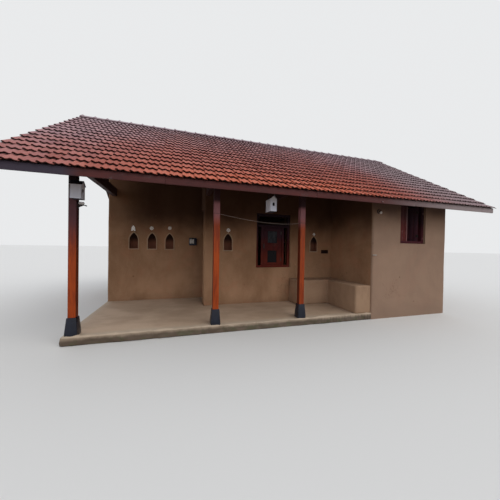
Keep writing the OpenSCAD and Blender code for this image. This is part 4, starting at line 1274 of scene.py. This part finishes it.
add_turned(lamp_bm, HOLDER, lying, 24)
add_turned(lamp_bm, LAMP, lying, 24, GLASS)
brace = [(arm_x + 0.004, arm_z - 0.040), (arm_x + 0.085, arm_z + 0.001), (arm_x + 0.004, arm_z + 0.001)]
add_prism(lamp_bm, brace, -0.004, 0.004, lambda p, d: (p[0], POST_Y + d, p[1]))
piece("post_light", lamp_bm, [dark_iron, bulb_glass], ["post_lamp"])

# %% The lamp on the room's wall
ROSE = [(0, 0), (0.055, 0), (0.055, 0.010), (0.050, 0.017), (0.040, 0.020), (0.036, 0.014), (0.022, 0.014),
        (0.017, 0.019), (0.017, 0.040), (0, 0.040)]
BULB = [(0, 0.030), (0.012, 0.0275), (0.021, 0.021), (0.027, 0.012), (0.030, 0.0), (0.028, -0.011),
        (0.022, -0.022), (0.015, -0.031), (0.0125, -0.036), (0, -0.036)]
MUD_RING = 2
rose = Vector((ROOM_X + 0.16, WALL_FRONT, PLINTH + 2.393))
lamp_bm = bmesh.new()
add_turned(lamp_bm, ROSE, Matrix.Translation(rose) @ Matrix.Rotation(radians(90), 4, "X"), 28)
bend = [rose + Vector((0, -y, z)) for y, z in ((0.036, 0), (0.05, 0.002), (0.058, -0.002), (0.06, -0.008))]
for a, b in zip(bend, bend[1:]):
    add_rod(lamp_bm, a, b, 0.0155, 14)
for face in lamp_bm.faces:
    at = face.calc_center_median() - rose
    if 0.020 < hypot(at.x, at.z) < 0.043 and at.y > -0.024:
        face.material_index = MUD_RING
down = Matrix.Translation(rose + Vector((0, -0.060, -0.034))) @ Matrix.Rotation(pi, 4, "X")
add_turned(lamp_bm, BULB, down, tone=GLASS)
piece("wall_light", lamp_bm, [dark_iron, bulb_glass, bench_mud], ["wall_lamp"])

# %% The switch board: a black box with a pale plate, three rockers, three socket holes and four screws
PALE = 1
low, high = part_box("switch_board")
board = bmesh.new()
add_box(board, low, high)
round_edges(board, 0.006, 3)
add_box(board, (low.x + 0.022, low.y - 0.004, low.z + 0.055), (low.x + 0.135, low.y + 0.002, high.z - 0.035),
        tone=PALE)
for k in range(3):
    x0 = low.x + 0.032 + k * 0.033
    add_box(board, (x0, low.y - 0.009, low.z + 0.115), (x0 + 0.024, low.y - 0.003, low.z + 0.165), tone=PALE)
holes = [(dx, dz, -0.0052, -0.003, 0.0035, 0) for dx, dz in ((0.065, 0.072), (0.083, 0.072), (0.074, 0.092))]
screws = [(dx, dz, -0.002, 0.002, 0.004, PALE) for dx in (0.012, 0.203) for dz in (0.012, 0.203)]
for dx, dz, front, rear, radius, tone in holes + screws:
    x, z = low.x + dx, low.z + dz
    add_rod(board, (x, low.y + front, z), (x, low.y + rear, z), radius, tone=tone)
piece("switch_box", board, [black_gloss, pale_plastic], ["switch_board"])

# %% The hook at the room's corner, and the fitting on the eave board
hook = bmesh.new()
add_box(hook, (1.900, WALL_FRONT - 0.016, 1.505), (1.975, WALL_FRONT + 0.010, 1.526))
round_edges(hook, 0.004)
for x in (1.915, 1.960):
    add_rod(hook, (x, WALL_FRONT - 0.012, 1.516), (x, WALL_FRONT - 0.050, 1.520), 0.005, end_radius=0.007)
add_rod(hook, (1.511, -RUN + 0.021, 2.625), (1.511, -RUN - 0.006, 2.625), 0.014, 14, 0.012, tone=1)
piece("wall_hook", hook, [pale_plastic, strip_paint])

# %% [markdown]
# ## Stage and light
# A plain pale floor, an even sky and one wide soft lamp light the house at a level where a colour looks
# as it is written. The floor and the sky are pale only to the camera, to mirrors and through glass: what
# they throw on the house is a duller light, as the ground in front of a real house does.

# %% Stage and light
def two_looks(nodes, thrown, seen):
    """One colour for the light that is thrown on the house, another for what is seen directly."""
    camera, mirror, glass = (nodes.node("ShaderNodeLightPath", out="Is %s Ray" % way)
                             for way in ("Camera", "Glossy", "Transmission"))
    return nodes.mix(camera + mirror + glass, thrown, seen)


bm = bmesh.new()
bmesh.ops.create_circle(bm, cap_ends=True, segments=96, radius=260)
stage_floor = put("stage_floor", mesh_from("stage_floor", bm))
s = Finish("stage_floor", Roughness=1.0)
stage_floor.data.materials.append(s.show(two_looks(s, (0.25, 0.19, 0.14), (0.74, 0.73, 0.71))))
stage_floor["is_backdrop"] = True

world = bpy.data.worlds.new("sky")
bpy.context.scene.world = world
world.use_nodes = True
sky = Nodes(world.node_tree)
background = sky.tree.nodes["Background"]
background.inputs["Strength"].default_value = 0.95
sky.feed(background.inputs["Color"], two_looks(sky, (0.80, 0.83, 0.88), (0.86, 0.87, 0.88)))

lamp = put("soft_lamp", bpy.data.lights.new("soft_lamp", "SUN"))
lamp.data.energy, lamp.data.angle, lamp.data.color = 0.9, radians(50), (1.0, 0.97, 0.92)
lamp.rotation_euler = Vector((0.45, -0.75, 0.85)).to_track_quat("Z", "Y").to_euler()
bpy.context.scene.view_settings.view_transform = "Standard"

bpy.context.view_layer.update()
low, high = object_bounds()
print("visual box", [round(v, 3) for v in (*low, *high)])
